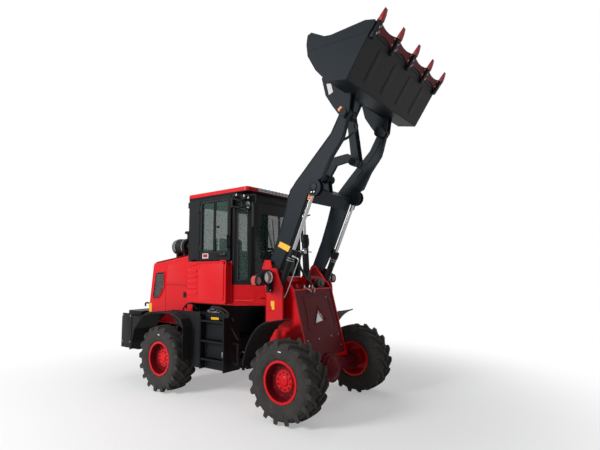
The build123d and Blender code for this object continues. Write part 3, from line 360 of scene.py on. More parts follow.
class Shape:
    # gathers solids into one mesh; measured forward from the rear axle until it is a piece
    def __init__(self):
        self.mesh = bmesh.new()

    def take(self, part, finish=0, bevel=0.0, steps=2, move=None):
        if move:
            part.transform(move)
        bmesh.ops.recalc_face_normals(part, faces=part.faces)
        if bevel:
            sharp = [edge for edge in part.edges
                     if len(edge.link_faces) == 2 and edge.calc_face_angle(0) > math.radians(30)]
            bmesh.ops.bevel(part, geom=sharp, offset=bevel, segments=steps, profile=0.6, affect="EDGES",
                            clamp_overlap=True)
        for face in part.faces:
            face.material_index = finish
        spare = bpy.data.meshes.new("spare")
        part.to_mesh(spare)
        part.free()
        self.mesh.from_mesh(spare)
        bpy.data.meshes.remove(spare)

    def prism(self, outline, axis, start, end, **extra):
        part = bmesh.new()
        near = [part.verts.new(onAxis(axis, start, a, b)) for a, b in outline]
        far = [part.verts.new(onAxis(axis, end, a, b)) for a, b in outline]
        part.faces.new(near)
        part.faces.new(far[::-1])
        for i in range(len(near)):
            j = (i + 1) % len(near)
            part.faces.new((near[i], far[i], far[j], near[j]))
        self.take(part, **extra)

    def box(self, low, high, **extra):
        self.prism([(low[0], low[2]), (high[0], low[2]), (high[0], high[2]), (low[0], high[2])], "y",
                   low[1], high[1], **extra)

    def disc(self, centre, axis, radius, length, sides=32, **extra):
        # centre is the middle of its near face
        spot = Vector(centre)
        depth = {"x": spot.x, "y": spot.y, "z": spot.z}[axis]
        a, b = {"x": (spot.y, spot.z), "y": (spot.x, spot.z), "z": (spot.x, spot.y)}[axis]
        outline = [(a + radius * math.cos(turn), b + radius * math.sin(turn))
                   for turn in (2 * math.pi * i / sides for i in range(sides))]
        self.prism(outline, axis, depth, depth + length, **extra)

    def lathe(self, centre, axis, profile, sides=48, loop=False, **extra):
        # profile is (radius, distance along the axis) from one end to the other
        part = bmesh.new()
        rings = []
        for radius, depth in profile:
            count = 1 if radius == 0 else sides
            rings.append([part.verts.new(Vector(centre) + Vector(onAxis(
                axis, depth, radius * math.cos(2 * math.pi * i / sides),
                radius * math.sin(2 * math.pi * i / sides))))
                for i in range(count)])
        pairs = list(zip(rings, rings[1:] + rings[:1])) if loop else list(zip(rings, rings[1:]))
        for one, two in pairs:
            for i in range(sides):
                j = (i + 1) % sides
                corners = [one[i % len(one)], one[j % len(one)], two[j % len(two)], two[i % len(two)]]
                unique = list(dict.fromkeys(corners))
                if len(unique) > 2:
                    part.faces.new(unique)
        if not loop:
            for ring in (rings[0], rings[-1]):
                if len(ring) > 1:
                    part.faces.new(ring)
        self.take(part, **extra)

    def tube(self, points, radius, sides=12, rounds=8, **extra):
        # round bar or hose along a smooth line through the points
        line = smoothLine([Vector(point) for point in points], rounds)
        part = bmesh.new()
        side = (line[1] - line[0]).orthogonal().normalized()
        rings = []
        for i, spot in enumerate(line):
            ahead = (line[min(i + 1, len(line) - 1)] - line[max(i - 1, 0)]).normalized()
            side = (side - ahead * side.dot(ahead)).normalized()
            other = ahead.cross(side)
            rings.append([part.verts.new(spot + radius * (side * math.cos(turn) + other * math.sin(turn)))
                          for turn in (2 * math.pi * k / sides for k in range(sides))])
        for one, two in zip(rings, rings[1:]):
            for i in range(sides):
                j = (i + 1) % sides
                part.faces.new((one[i], one[j], two[j], two[i]))
        part.faces.new(rings[0])
        part.faces.new(rings[-1])
        self.take(part, **extra)

    def frameOn(self, outline, axis, start, end, width, **extra):
        # band that follows a closed convex outline on its inside
        inner = inset(outline, width)
        count = len(outline)
        for i in range(count):
            j = (i + 1) % count
            self.prism([outline[i], outline[j], inner[j], inner[i]], axis, start, end, **extra)

    def piece(self, name, body, finishes, smooth=32, slot=None):
        mesh = bpy.data.meshes.new(name)
        self.mesh.transform(forward)
        self.mesh.to_mesh(mesh)
        self.mesh.free()
        return asPiece(name, mesh, body, finishes, smooth)

    def redPiece(self, name, body):
        return self.piece(name, body, redPaint, slot="red")


def asPiece(name, mesh, body, finishes, smooth=32):
    # clearing the materials also clears each face's choice of one
    chosen = [0] * len(mesh.polygons)
    mesh.polygons.foreach_get("material_index", chosen)
    mesh.materials.clear()
    for finish in finishes if isinstance(finishes, list) else [finishes]:
        mesh.materials.append(finish)
    if isinstance(finishes, list):
        mesh.polygons.foreach_set("material_index", chosen)
    mesh.shade_smooth()
    mesh.set_sharp_from_angle(angle=math.radians(smooth))
    piece = bpy.data.objects.new(name, mesh)
    bpy.context.scene.collection.objects.link(piece)
    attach(piece, body)
    return piece


def smoothLine(points, rounds):
    if len(points) == 2 or rounds < 2:
        return points
    line = []
    ends = [points[0] * 2 - points[1]] + points + [points[-1] * 2 - points[-2]]
    for p0, p1, p2, p3 in zip(ends, ends[1:], ends[2:], ends[3:]):
        for i in range(rounds):
            t = i / rounds
            line.append(0.5 * (2 * p1 + (p2 - p0) * t + (2 * p0 - 5 * p1 + 4 * p2 - p3) * t * t
                               + (3 * p1 - p0 - 3 * p2 + p3) * t * t * t))
    return line + [points[-1]]


def rectangle(a0, a1, b0, b1):
    return [(a0, b0), (a1, b0), (a1, b1), (a0, b1)]


def inset(outline, width):
    # the outline moved in by a width, whichever way it runs
    count = len(outline)
    area = sum(outline[i][0] * outline[(i + 1) % count][1] - outline[(i + 1) % count][0] * outline[i][1]
               for i in range(count))
    way = 1 if area > 0 else -1
    inner = []
    for i in range(count):
        before = Vector(outline[i]) - Vector(outline[i - 1])
        after = Vector(outline[(i + 1) % count]) - Vector(outline[i])
        normalBefore = Vector((-before.y, before.x)).normalized() * way
        normalAfter = Vector((-after.y, after.x)).normalized() * way
        middle = (normalBefore + normalAfter).normalized()
        inner.append(tuple(Vector(outline[i]) + middle * width / max(middle.dot(normalAfter), 0.3)))
    return inner


def rounded(outline, radius, steps=5):
    # closed outline with its corners rounded, each by the same radius or its own
    result = []
    count = len(outline)
    for i, point in enumerate(outline):
        size = radius[i] if isinstance(radius, (list, tuple)) else radius
        here = Vector(point)
        back = (Vector(outline[i - 1]) - here)
        ahead = (Vector(outline[(i + 1) % count]) - here)
        reach = min(size, back.length * 0.48, ahead.length * 0.48)
        if reach < 1e-4:
            result.append(tuple(here))
            continue
        start = here + back.normalized() * reach
        end = here + ahead.normalized() * reach
        for k in range(steps + 1):
            t = k / steps
            result.append(tuple((1 - t) ** 2 * start + 2 * t * (1 - t) * here + t * t * end))
    return result


# geometry node trees for what repeats


def newTree(name, inputs):
    tree = bpy.data.node_groups.new(name, "GeometryNodeTree")
    tree.interface.new_socket("Geometry", in_out="INPUT", socket_type="NodeSocketGeometry")
    for label, kind in inputs:
        tree.interface.new_socket(label, in_out="INPUT", socket_type=kind)
    tree.interface.new_socket("Geometry", in_out="OUTPUT", socket_type="NodeSocketGeometry")
    return tree, addNode(tree, "NodeGroupInput").outputs, addNode(tree, "NodeGroupOutput")


def endTree(tree, end, geometry, finish):
    whole = addNode(tree, "GeometryNodeRealizeInstances", {"Geometry": geometry})
    painted = addNode(tree, "GeometryNodeSetMaterial", {"Geometry": whole.outputs[0], "Material": finish})
    tree.links.new(painted.outputs[0], end.inputs[0])


def makeRowTree():
    # copies of a unit in a straight row
    tree, given, end = newTree("rowOfUnits", [("Unit", "NodeSocketObject"), ("Count", "NodeSocketInt"),
                                              ("Start", "NodeSocketVector"), ("Step", "NodeSocketVector"),
                                              ("Finish", "NodeSocketMaterial")])
    line = addNode(tree, "GeometryNodeMeshLine", {"Count": given["Count"], "Start Location": given["Start"],
                                                  "Offset": given["Step"]}, mode="OFFSET")
    unit = addNode(tree, "GeometryNodeObjectInfo", {"Object": given["Unit"]})
    copies = addNode(tree, "GeometryNodeInstanceOnPoints", {"Points": line.outputs[0],
                                                            "Instance": unit.outputs["Geometry"]})
    endTree(tree, end, copies.outputs[0], given["Finish"])
    return tree


def makeRingTree():
    # copies of a unit turned about an upright-mounted wheel's axis, which runs along y
    tree, given, end = newTree("ringOfUnits", [("Unit", "NodeSocketObject"), ("Count", "NodeSocketInt"),
                                               ("Shift", "NodeSocketFloat"), ("Centre", "NodeSocketVector"),
                                               ("Finish", "NodeSocketMaterial")])
    points = addNode(tree, "GeometryNodePoints", {"Count": given["Count"]})
    index = addNode(tree, "GeometryNodeInputIndex")
    shifted = addNode(tree, "ShaderNodeMath", {0: index.outputs[0], 1: given["Shift"]}, operation="ADD")
    share = addNode(tree, "ShaderNodeMath", {0: shifted.outputs[0], 1: given["Count"]}, operation="DIVIDE")
    turn = addNode(tree, "ShaderNodeMath", {0: share.outputs[0], 1: 2 * math.pi}, operation="MULTIPLY")
    rotation = addNode(tree, "ShaderNodeCombineXYZ", {"Y": turn.outputs[0]})
    unit = addNode(tree, "GeometryNodeObjectInfo", {"Object": given["Unit"]})
    copies = addNode(tree, "GeometryNodeInstanceOnPoints", {"Points": points.outputs[0],
                                                            "Instance": unit.outputs["Geometry"],
                                                            "Rotation": rotation.outputs[0]})
    placed = addNode(tree, "GeometryNodeTransform", {"Geometry": copies.outputs[0], "Translation": given["Centre"]})
    both = addNode(tree, "GeometryNodeJoinGeometry")
    tree.links.new(placed.outputs[0], both.inputs[0])
    tree.links.new(given["Geometry"], both.inputs[0])
    endTree(tree, end, both.outputs[0], given["Finish"])
    return tree


def makeBoltTree():
    # a bolt at each point of a mesh, standing along the point's own direction
    tree, given, end = newTree("boltsOnPoints", [("Unit", "NodeSocketObject"), ("Finish", "NodeSocketMaterial")])
    facing = addNode(tree, "GeometryNodeInputNamedAttribute", {"Name": "facing"}, data_type="FLOAT_VECTOR")
    turn = addNode(tree, "FunctionNodeAlignRotationToVector", {"Vector": facing.outputs["Attribute"]}, axis="Z")
    unit = addNode(tree, "GeometryNodeObjectInfo", {"Object": given["Unit"]})
    copies = addNode(tree, "GeometryNodeInstanceOnPoints", {"Points": given["Geometry"],
                                                            "Instance": unit.outputs["Geometry"],
                                                            "Rotation": turn.outputs[0]})
    endTree(tree, end, copies.outputs[0], given["Finish"])
    return tree


rowTree = makeRowTree()
ringTree = makeRingTree()
boltTree = makeBoltTree()


def grow(tree, base, values):
    # the mesh that a tree makes from a base mesh and its named inputs
    carrier = bpy.data.objects.new("carrier", base)
    bpy.context.scene.collection.objects.link(carrier)
    modifier = carrier.modifiers.new("grow", "NODES")
    modifier.node_group = tree
    for item in tree.interface.items_tree:
        if item.item_type == "SOCKET" and item.in_out == "INPUT" and item.name in values:
            modifier[item.identifier] = values[item.name]
    graph = bpy.context.evaluated_depsgraph_get()
    mesh = bpy.data.meshes.new_from_object(carrier.evaluated_get(graph), preserve_all_data_layers=True,
                                           depsgraph=graph)
    bpy.data.objects.remove(carrier)
    return mesh


def asUnit(shape):
    # a loose object for a tree to copy, at the origin
    mesh = bpy.data.meshes.new("unit")
    shape.mesh.to_mesh(mesh)
    shape.mesh.free()
    unit = bpy.data.objects.new("unit", mesh)
    bpy.context.scene.collection.objects.link(unit)
    return unit


def makeRow(name, body, finish, shape, count, start, step):
    unit = asUnit(shape)
    mesh = grow(rowTree, bpy.data.meshes.new("empty"), {
        "Unit": unit, "Count": count, "Start": forward @ Vector(start), "Step": Vector(step),
        "Finish": finish})
    bpy.data.objects.remove(unit)
    return asPiece(name, mesh, body, finish)


def makeCopies(name, body, finish, shape, places):
    # a loose shape copied to each (point, direction its own z axis takes)
    mesh = bpy.data.meshes.new("points")
    mesh.from_pydata([tuple(forward @ Vector(point)) for point, facing in places], [], [])
    directions = mesh.attributes.new("facing", "FLOAT_VECTOR", "POINT")
    for i, (point, facing) in enumerate(places):
        directions.data[i].vector = facing
    unit = asUnit(shape)
    made = grow(boltTree, mesh, {"Unit": unit, "Finish": finish})
    bpy.data.objects.remove(unit)
    return asPiece(name, made, body, finish)


def makeBolts(name, body, finish, places, size):
    # a hexagon head on a washer at each place
    shape = Shape()
    shape.disc((0, 0, 0), "z", size * 0.95, size * 0.16, sides=20)
    shape.disc((0, 0, 0), "z", size * 0.62, size * 0.62, sides=6, bevel=size * 0.06)
    return makeCopies(name, body, finish, shape, places)


# tyres and rims

tyre = {
    "width": 0.351,
    "top": 0.4695,  # radius over the lugs
    "crown": 0.436,  # radius between them
    "lugs": 17,  # on each side of the middle
    "sweep": 0.37,  # turn of a lug from its shoulder to the middle
    "shoulderWidth": 0.058,
    "middleWidth": 0.036,
}


def tyreSection():
    half = tyre["width"] / 2
    crown = tyre["crown"]
    side = [(0.2240, 0.1410), (0.2460, 0.1412), (0.2500, 0.1465), (0.2580, 0.1520), (0.2680, 0.1575),
            (0.2760, 0.1640), (0.2830, 0.1648), (0.2880, 0.1640), (0.3050, 0.1700), (0.3250, 0.1738),
            (0.3440, half - 0.001), (0.3620, half - 0.002), (0.3740, half - 0.0045), (0.3780, half - 0.0015),
            (0.3840, half - 0.0015), (0.3880, half - 0.0060), (0.4020, half - 0.0110), (0.4160, half - 0.0200),
            (0.4270, half - 0.0360), (crown - 0.003, half - 0.0600), (crown, 0.060)]
    return side + [(crown + 0.001, 0.0)] + [(radius, -depth) for radius, depth in reversed(side)]


def lugShape(sign):
    # one lug, its shoulder end at turn 0, for one side of the tyre
    half = tyre["width"] / 2
    stations = [  # share of the way in, depth of top and foot, radius of top and foot
        (0.00, half, half - 0.004, 0.446, 0.386), (0.06, half - 0.006, half - 0.016, 0.460, 0.408),
        (0.16, half - 0.028, half - 0.030, 0.4655, 0.424), (0.34, half - 0.062, half - 0.062, 0.4675, 0.432),
        (0.55, half - 0.100, half - 0.100, tyre["top"] - 0.001, 0.434),
        (0.78, half - 0.140, half - 0.140, tyre["top"], 0.434), (1.00, -0.012, -0.012, tyre["top"] - 0.002, 0.434)]
    part = bmesh.new()
    rings = []
    for share, topDepth, footDepth, topRadius, footRadius in stations:
        lead = -tyre["sweep"] * share ** 1.2
        width = tyre["shoulderWidth"] + (tyre["middleWidth"] - tyre["shoulderWidth"]) * min(share * 1.6, 1)
        ring = []
        for across, depth, radius in ((-0.62, footDepth, footRadius), (-0.5, topDepth, topRadius - 0.006),
                                      (-0.38, topDepth, topRadius), (0.38, topDepth, topRadius),
                                      (0.5, topDepth, topRadius - 0.006), (0.62, footDepth, footRadius)):
            turn = lead + across * width / radius
            ring.append(part.verts.new((radius * math.cos(turn), sign * depth, radius * math.sin(turn))))
        rings.append(ring)
    for one, two in zip(rings, rings[1:]):
        for i in range(6):
            j = (i + 1) % 6
            part.faces.new((one[i], one[j], two[j], two[i]))
    part.faces.new(rings[0])
    part.faces.new(rings[-1])
    shape = Shape()
    shape.take(part)
    return asUnit(shape)


def makeTyre(end, hand):
    centre = centreOf(f"tyre_{end}_{hand}")
    body = f"wheel_{end}_{hand}"
    carcass = Shape()
    carcass.lathe((0, 0, 0), "y", tyreSection(), sides=96, loop=True, move=Matrix.Translation(centre))
    mesh = bpy.data.meshes.new("carcass")
    carcass.mesh.to_mesh(mesh)
    carcass.mesh.free()
    for row, shift in ((1, 0.0), (-1, 0.5)):
        unit = lugShape(row)
        mesh = grow(ringTree, mesh, {"Unit": unit, "Count": tyre["lugs"], "Shift": shift, "Centre": centre,
                                     "Finish": rubber})
        bpy.data.objects.remove(unit)
    piece = asPiece(f"tread.{end}.{hand}", mesh, body, rubber, smooth=28)
    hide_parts(f"tyre_{end}_{hand}")


rim = {"bolts": 10, "boltRing": 0.094, "studs": 8, "studRing": 0.168, "hubFace": 0.069, "discFace": 0.055}


def makeRim(end, hand, sign):
    centre = centreOf(f"tyre_{end}_{hand}")
    hub = forward.inverted() @ Matrix.Translation(centre)
    body = f"wheel_{end}_{hand}"
    for name, count, ring, face, size, finish in (
            ("wheelBolts", rim["bolts"], rim["boltRing"], rim["hubFace"], 0.011, darkRedPaint),
            ("rimStuds", rim["studs"], rim["studRing"], rim["discFace"], 0.008, redPaint)):
        shape = Shape()
        shape.disc((ring, sign * face, 0), "y", size * 1.25, sign * size * 0.3, sides=20)
        shape.disc((ring, sign * face, 0), "y", size * 0.8, sign * size * 1.1, sides=6, bevel=size * 0.08)
        shape.disc((ring, sign * face, 0), "y", size * 0.38, sign * size * 1.7, sides=12)
        unit = asUnit(shape)
        mesh = grow(ringTree, bpy.data.meshes.new("empty"), {
            "Unit": unit, "Count": count, "Shift": 0.3, "Centre": centre, "Finish": finish})
        bpy.data.objects.remove(unit)
        asPiece(f"{name}.{end}.{hand}", mesh, body, finish)
    shape = Shape()
    face = rim["hubFace"]
    shape.lathe((0, 0, 0), "y", [(0.058, sign * (face - 0.002)), (0.058, sign * (face + 0.006)),
                                 (0.048, sign * (face + 0.012)), (0.030, sign * (face + 0.014)),
                                 (0, sign * (face + 0.015))], sides=36, move=hub)
    # lock ring at the rim's outer edge
    shape.lathe((0, 0, 0), "y", [(0.2145, sign * 0.1425), (0.2335, sign * 0.1505), (0.2385, sign * 0.1500),
                                 (0.2400, sign * 0.1450)], sides=96, loop=True, move=hub)
    valveTurn = 1.1
    shape.tube([(0.205, sign * 0.056, 0), (0.207, sign * 0.085, 0), (0.200, sign * 0.105, 0)], 0.004, sides=10,
               move=hub @ Matrix.Rotation(valveTurn, 4, "Y"))
    shape.piece(f"hubCap.{end}.{hand}", body, redPaint, slot="red")
    # painted shade: a deep red lining over the rim's dish and barrel wall, where the dish lies in shade
    dish = Shape()
    dish.lathe((0, 0, 0), "y", [(0.128, sign * 0.0554), (0.198, sign * 0.0554), (0.2115, sign * 0.142),
                                (0.2095, sign * 0.142), (0.1965, sign * 0.0572), (0.128, sign * 0.0572)],
               sides=96, loop=True, move=hub)
    dish.piece(f"rimDish.{end}.{hand}", body, paintedShadeRed)
    dab = Shape()
    dabTurn = 0.05
    patch = rounded(rectangle(0.337, 0.348, -0.021, 0.021), 0.003)
    dab.prism([(-b, a) for a, b in patch], "y", sign * 0.1735, sign * 0.1754,
              move=hub @ Matrix.Rotation(dabTurn, 4, "Y"))
    dab.piece(f"tyreDab.{end}.{hand}", body, whitePaint)


for end in ("rear", "front"):
    for hand, sign in sides.items():
        makeTyre(end, hand)
        makeRim(end, hand, sign)
print("tyres and rims")


def within(point, outline):
    # whether a point lies inside a closed outline
    found = False
    for one, two in zip(outline, outline[1:] + outline[:1]):
        if (one[1] > point[1]) != (two[1] > point[1]):
            cross = one[0] + (point[1] - one[1]) * (two[0] - one[0]) / (two[1] - one[1])
            if point[0] < cross:
                found = not found
    return found


# hood
hood = {
    "face": 0.585,
    "vent": [(-0.677, 1.713), (-0.433, 1.732), (-0.434, 1.475), (-0.579, 1.28), (-0.751, 1.274)],
    "pitch": 0.027,
    "seam": 1.512,
    "latch": (0.075, 1.371),
    "grille": {"foot": (-0.868, 0.92), "head": (-0.745, 1.84),  # ends of the hood's sloping rear face
               "low": 1.16, "high": 1.62, "half": 0.40, "slats": 11},
}


def makeHoodSide(hand, sign):
    face = sign * hood["face"]
    vent = rounded(hood["vent"], 0.05)
    frame = Shape()
    frame.frameOn(vent, "y", face, face + sign * 0.012, 0.016)
    frame.redPiece(f"ventRim.{hand}", "rear_frame")
    field = Shape()
    field.prism(inset(vent, 0.014), "y", face + sign * 0.0005, face + sign * 0.004)
    field.piece(f"ventField.{hand}", "rear_frame", blackPaint)
    hole = Shape()
    hole.lathe((0, 0, 0), "z", [(0.0105, 0.0), (0.0105, 0.003), (0.0075, 0.003), (0.0075, 0.0)], sides=6, loop=True)
    pitch = hood["pitch"]
    field = inset(vent, 0.034)
    places = [((-0.80 + pitch * (i + 0.5 * (k % 2)), face + sign * 0.004, 1.25 + pitch * 0.87 * k), (0, sign, 0))
              for k in range(24) for i in range(16)]
    makeCopies(f"ventHoles.{hand}", "rear_frame", steel, hole,
               [place for place in places if within((place[0][0], place[0][2]), field)])
    trim = Shape()
    seam = hood["seam"]
    trim.box((-0.407, face, seam - 0.0035), (0.165, face + sign * 0.0015, seam + 0.0035))
    trim.prism(rectangle(-0.407, -0.401, 0.925, seam), "y", face, face + sign * 0.0015)
    x, z = hood["latch"]
    trim.prism(rounded(rectangle(x - 0.035, x + 0.035, z - 0.045, z + 0.045),
                       0.018), "y", face, face + sign * 0.006, bevel=0.002)
    trim.disc((x, face, z + 0.008), "y", 0.017, sign * 0.014, sides=24, bevel=0.002)
    trim.piece(f"hoodTrim.{hand}", "rear_frame", matteBlack)
    # rolled lower edge and a pressed line above it
    edge = Shape()
    edge.tube([(-0.86, face, 0.935), (-0.3, face, 0.935), (0.25, face, 0.935)], 0.012, sides=12, rounds=1)
    edge.prism(rounded([(-0.36, 1.545), (0.215, 1.545), (0.215, 1.90), (-0.36, 1.845)], 0.05), "y", face,
               face + sign * 0.006, bevel=0.003)
    edge.redPiece(f"hoodPress.{hand}", "rear_frame")
    plate = Shape()
    plate.prism(rounded(rectangle(-0.84, -0.765, 1.07, 1.207), 0.006), "y", face,
                face + sign * 0.003)
    plate.piece(f"hoodReflector.{hand}", "rear_frame", yellowPlate)
    # hinges and the arch line over the tank
    line = Shape()
    line.tube([(0.0, face + sign * 0.006, 1.02), (0.06, face + sign * 0.006, 1.17),
               (0.16, face + sign * 0.006, 1.24),
               (0.245, face + sign * 0.006, 1.262)], 0.008, sides=10)
    line.tube([(0.215, sign * 0.66, 1.175), (0.26, sign * 0.70, 1.235), (0.33, sign * 0.70, 1.255),
               (0.42, sign * 0.70, 1.245), (0.49, sign * 0.68, 1.17)], 0.011, sides=12)
    line.piece(f"grabLoop.{hand}", "rear_frame", blackPaint)
    hinge = Shape()
    hinge.tube([(0.20, sign * 0.60, 1.275), (0.28, sign * 0.60, 1.275)], 0.013, sides=14)
    hinge.box((0.205, sign * 0.585, 1.262), (0.275, sign * 0.606, 1.288),
              bevel=0.002)
    hinge.piece(f"hoodHinge.{hand}", "rear_frame", chrome)


def makeHoodRear():
    grille = hood["grille"]
    foot, head = grille["foot"], grille["head"]
    slope = (head[1] - foot[1]) / (head[0] - foot[0])

    def rearX(z):
        return foot[0] + (z - foot[1]) / slope

    panel = Shape()
    low, high, half = grille["low"], grille["high"], grille["half"]
    for z0, z1, y0, y1 in ((high, high + 0.03, -half - 0.03, half + 0.03),
                           (low - 0.03, low, -half - 0.03, half + 0.03),
                           (low, high, -half - 0.03, -half), (low, high, half, half + 0.03)):
        panel.prism([(rearX(z0) - 0.014, z0), (rearX(z1) - 0.014, z1), (rearX(z1) + 0.004, z1),
                     (rearX(z0) + 0.004, z0)],
                    "y", y0, y1, bevel=0.003)
    panel.redPiece("grilleFrame", "rear_frame")
    slat = Shape()
    slat.prism([(0.004, 0.0), (-0.014, 0.012), (-0.014, 0.016), (0.004, 0.008)], "y", -half, half)
    count = grille["slats"]
    step = (high - low) / count
    makeRow("grilleSlats", "rear_frame", blackPaint, slat, count, (rearX(low), 0, low + 0.008),
            (step / slope, 0, step))
    back = Shape()
    back.prism([(rearX(low) - 0.003, low), (rearX(high) - 0.003, high), (rearX(high) + 0.004, high),
                (rearX(low) + 0.004, low)], "y", -half, half)
    back.piece("grilleBack", "rear_frame", matteBlack)
    plate = Shape()
    z0, z1 = 1.67, 1.77
    plate.prism([(rearX(z0) - 0.006, z0), (rearX(z1) - 0.006, z1), (rearX(z1) + 0.002, z1),
                 (rearX(z0) + 0.002, z0)],
                "y", -0.26, 0.26, bevel=0.002)
    plate.piece("hoodBlankPlate", "rear_frame", whitePaint)
    # exhaust and radiator cap on top
    pipe = Shape()
    top = 1.95
    pipe.lathe((-0.25, 0.30, top), "z", [(0.055, -0.02), (0.055, 0.006), (0.034, 0.014), (0.034, 0.16),
                                         (0.042, 0.17),
                                         (0.042, 0.33), (0.034, 0.345), (0.030, 0.345), (0.030, 0.20)], sides=24)
    pipe.lathe((-0.55, 0, 1.90), "z", [(0.06, -0.02), (0.06, 0.03), (0.052, 0.04), (0.0, 0.04)], sides=24)
    pipe.piece("exhaust", "rear_frame", engineGrey)


def upright(origin, run, side):
    # matrix of a wall's plan: its own x along the run, its y outwards on that side, its z up
    x, y = Vector(run).normalized()
    return Matrix(((x, -side * y, 0, origin[0]), (y, side * x, 0, origin[1]), (0, 0, 1, origin[2]), (0, 0, 0, 1)))


# tanks beside the hood
tank = {"face": 0.81, "louvres": 5, "louvreZ": 1.40, "louvreStep": 0.0775}


def makeTank(hand, sign):
    face = sign * tank["face"]
    panel = Shape()
    panel.prism(rounded([(0.675, 1.325), (1.17, 1.325), (1.17, 1.83), (0.72, 1.83), (0.675, 1.72)], 0.03), "y",
                face,
                face + sign * 0.009, bevel=0.005)
    panel.prism([(0.47, 1.79), (0.66, 1.83), (1.185, 1.83), (1.185, 1.842), (0.655, 1.842), (0.465, 1.80)], "y",
                face,
                face + sign * 0.012, bevel=0.002)
    # lip along the front edge, round the upper corner
    panel.tube([(1.198, sign * 0.802, 1.30), (1.198, sign * 0.802, 1.70), (1.192, sign * 0.795, 1.80),
                (1.17, sign * 0.78, 1.856), (1.05, sign * 0.76, 1.862)], 0.012, sides=12)
    panel.tube([(1.2, sign * 0.70, 1.30), (1.2, sign * 0.70, 1.74), (1.195, sign * 0.69, 1.82),
                (1.18, sign * 0.685, 1.86)], 0.010, sides=12)
    panel.redPiece(f"tankPanel.{hand}", "rear_frame")
    # louvres follow the slanted rear part of the panel
    for k in range(tank["louvres"]):
        z = tank["louvreZ"] + k * tank["louvreStep"]
        fin = Shape()
        fin.prism([(0.0, 0.0), (0.016, 0.004), (0.017, 0.012), (0.0, 0.040)], "x", 0.0, 0.20, bevel=0.002,
                  move=upright((0.215, sign * 0.655, z), (0.26, sign * 0.21), sign))
        fin.prism(rectangle(0.41, 0.62, z, z + 0.030), "y", face - sign * 0.002,
                  face + sign * 0.002)
        fin.prism([(0.0, 0.0), (0.0, 0.038), (sign * 0.013, 0.012), (sign * 0.013, 0.004)], "x", 0.42, 0.61,
                  bevel=0.002, move=Matrix.Translation((0, face, z)))
        fin.redPiece(f"tankLouvre.{hand}.{k}", "rear_frame")
    cap = Shape()
    cap.lathe((0.40, sign * 0.72, 1.855), "z", [(0.045, 0.0), (0.045, 0.03), (0.040, 0.036), (0.0, 0.036)],
              sides=24)
    cap.piece(f"tankCap.{hand}", "rear_frame", blackPaint)


# rear fenders, side boxes and ladders
ladder = {"steps": (0.525, 0.77, 1.04), "face": 0.715}


def makeLadder(hand, sign):
    box = Shape()
    face = sign * ladder["face"]
    box.frameOn(rectangle(0.72, 1.145, 0.80, 1.01), "y", face, face + sign * 0.008, 0.012,
                bevel=0.002)
    box.frameOn(rectangle(0.72, 1.145, 0.41, 0.74), "y", face, face + sign * 0.010, 0.02,
                bevel=0.003)
    for z in (0.445, 0.70):
        box.tube([(0.745, face + sign * 0.012, z - 0.03), (0.745, face + sign * 0.012, z + 0.03)], 0.009, sides=12)
    box.tube([(1.35, sign * 0.70, 0.50), (1.352, sign * 0.715, 0.56), (1.352, sign * 0.715, 0.72),
              (1.35, sign * 0.70, 0.76)], 0.013, sides=12)
    for z in (0.50, 0.76):
        box.tube([(1.17, sign * 0.66, z), (1.35, sign * 0.70, z)], 0.012, sides=12)
    box.piece(f"boxTrim.{hand}", "rear_frame", blackPaint)
    latch = Shape()
    latch.prism(rounded(rectangle(1.06, 1.11, 0.56, 0.64), 0.015), "y", face + sign * 0.008,
                face + sign * 0.016, bevel=0.002)
    latch.piece(f"boxLatch.{hand}", "rear_frame", steel)
    for k, z in enumerate(ladder["steps"]):
        unit = Shape()
        unit.prism([(0.0, 0.0), (0.010, 0.0), (0.005, 0.007)], "y", 0.0, sign * 0.07)
        makeRow(f"stepGrip.{hand}.{k}", "rear_frame", blackPaint, unit, 17, (0.722, sign * 0.722, z + 0.012),
                (0.0255, 0, 0))
    plate = Shape()
    plate.prism(rectangle(0.828, 0.98, 1.022, 1.09), "y", face, face + sign * 0.003)
    plate.piece(f"boxReflector.{hand}", "rear_frame", yellowPlate)
    fittings = Shape()
    for x, z in ((0.78, 1.175), (0.86, 1.20), (0.93, 1.17)):
        fittings.lathe((x, sign * 0.69, z), "y", [(0.0, 0.0), (0.017, 0.0), (0.017, sign * 0.02),
                                                  (0.010, sign * 0.02),
                                                  (0.010, sign * 0.045), (0.0, sign * 0.045)], sides=16)
    fittings.box((0.74, sign * 0.62, 1.150), (0.97, sign * 0.70, 1.162), bevel=0.002)
    fittings.piece(f"boxFittings.{hand}", "rear_frame", steel)
    hose = Shape()
    hose.tube([(0.78, sign * 0.70, 1.19), (0.86, sign * 0.715, 1.235), (1.0, sign * 0.71, 1.225),
               (1.12, sign * 0.69, 1.17), (1.2, sign * 0.64, 1.05)], 0.012, sides=10)
    hose.tube([(0.86, sign * 0.70, 1.21), (0.95, sign * 0.70, 1.20), (1.08, sign * 0.69, 1.13),
               (1.18, sign * 0.66, 0.95), (1.24, sign * 0.6, 0.8)], 0.011, sides=10)
    hose.piece(f"boxHoses.{hand}", "rear_frame", rubber)


def makeRearFender(hand, sign):
    # rolled outer edge of the arch, over the tyre
    arch = [(-0.75, 0.53), (-0.70, 0.64), (-0.64, 0.85), (-0.42, 1.06), (-0.15, 1.13), (0.25, 1.13), (0.46, 1.06),
            (0.53, 0.96)]
    lip = Shape()
    lip.tube([(x, sign * 0.967, z - 0.004) for x, z in arch], 0.010, sides=10, rounds=6)
    lip.tube([(x, sign * 0.90, z + 0.001) for x, z in arch[2:7]], 0.005, sides=8, rounds=6)
    lip.piece(f"rearFenderLip.{hand}", "rear_frame", matteBlack)
    flap = Shape()
    flap.prism(rounded(rectangle(sign * 0.80, sign * 0.96, 0.50, 0.96), 0.01),
               "x", 0.521, 0.527)
    flap.piece(f"rearFlap.{hand}", "rear_frame", matteBlack)


# counterweight
weight = {"rear": -1.27, "half": 0.82}


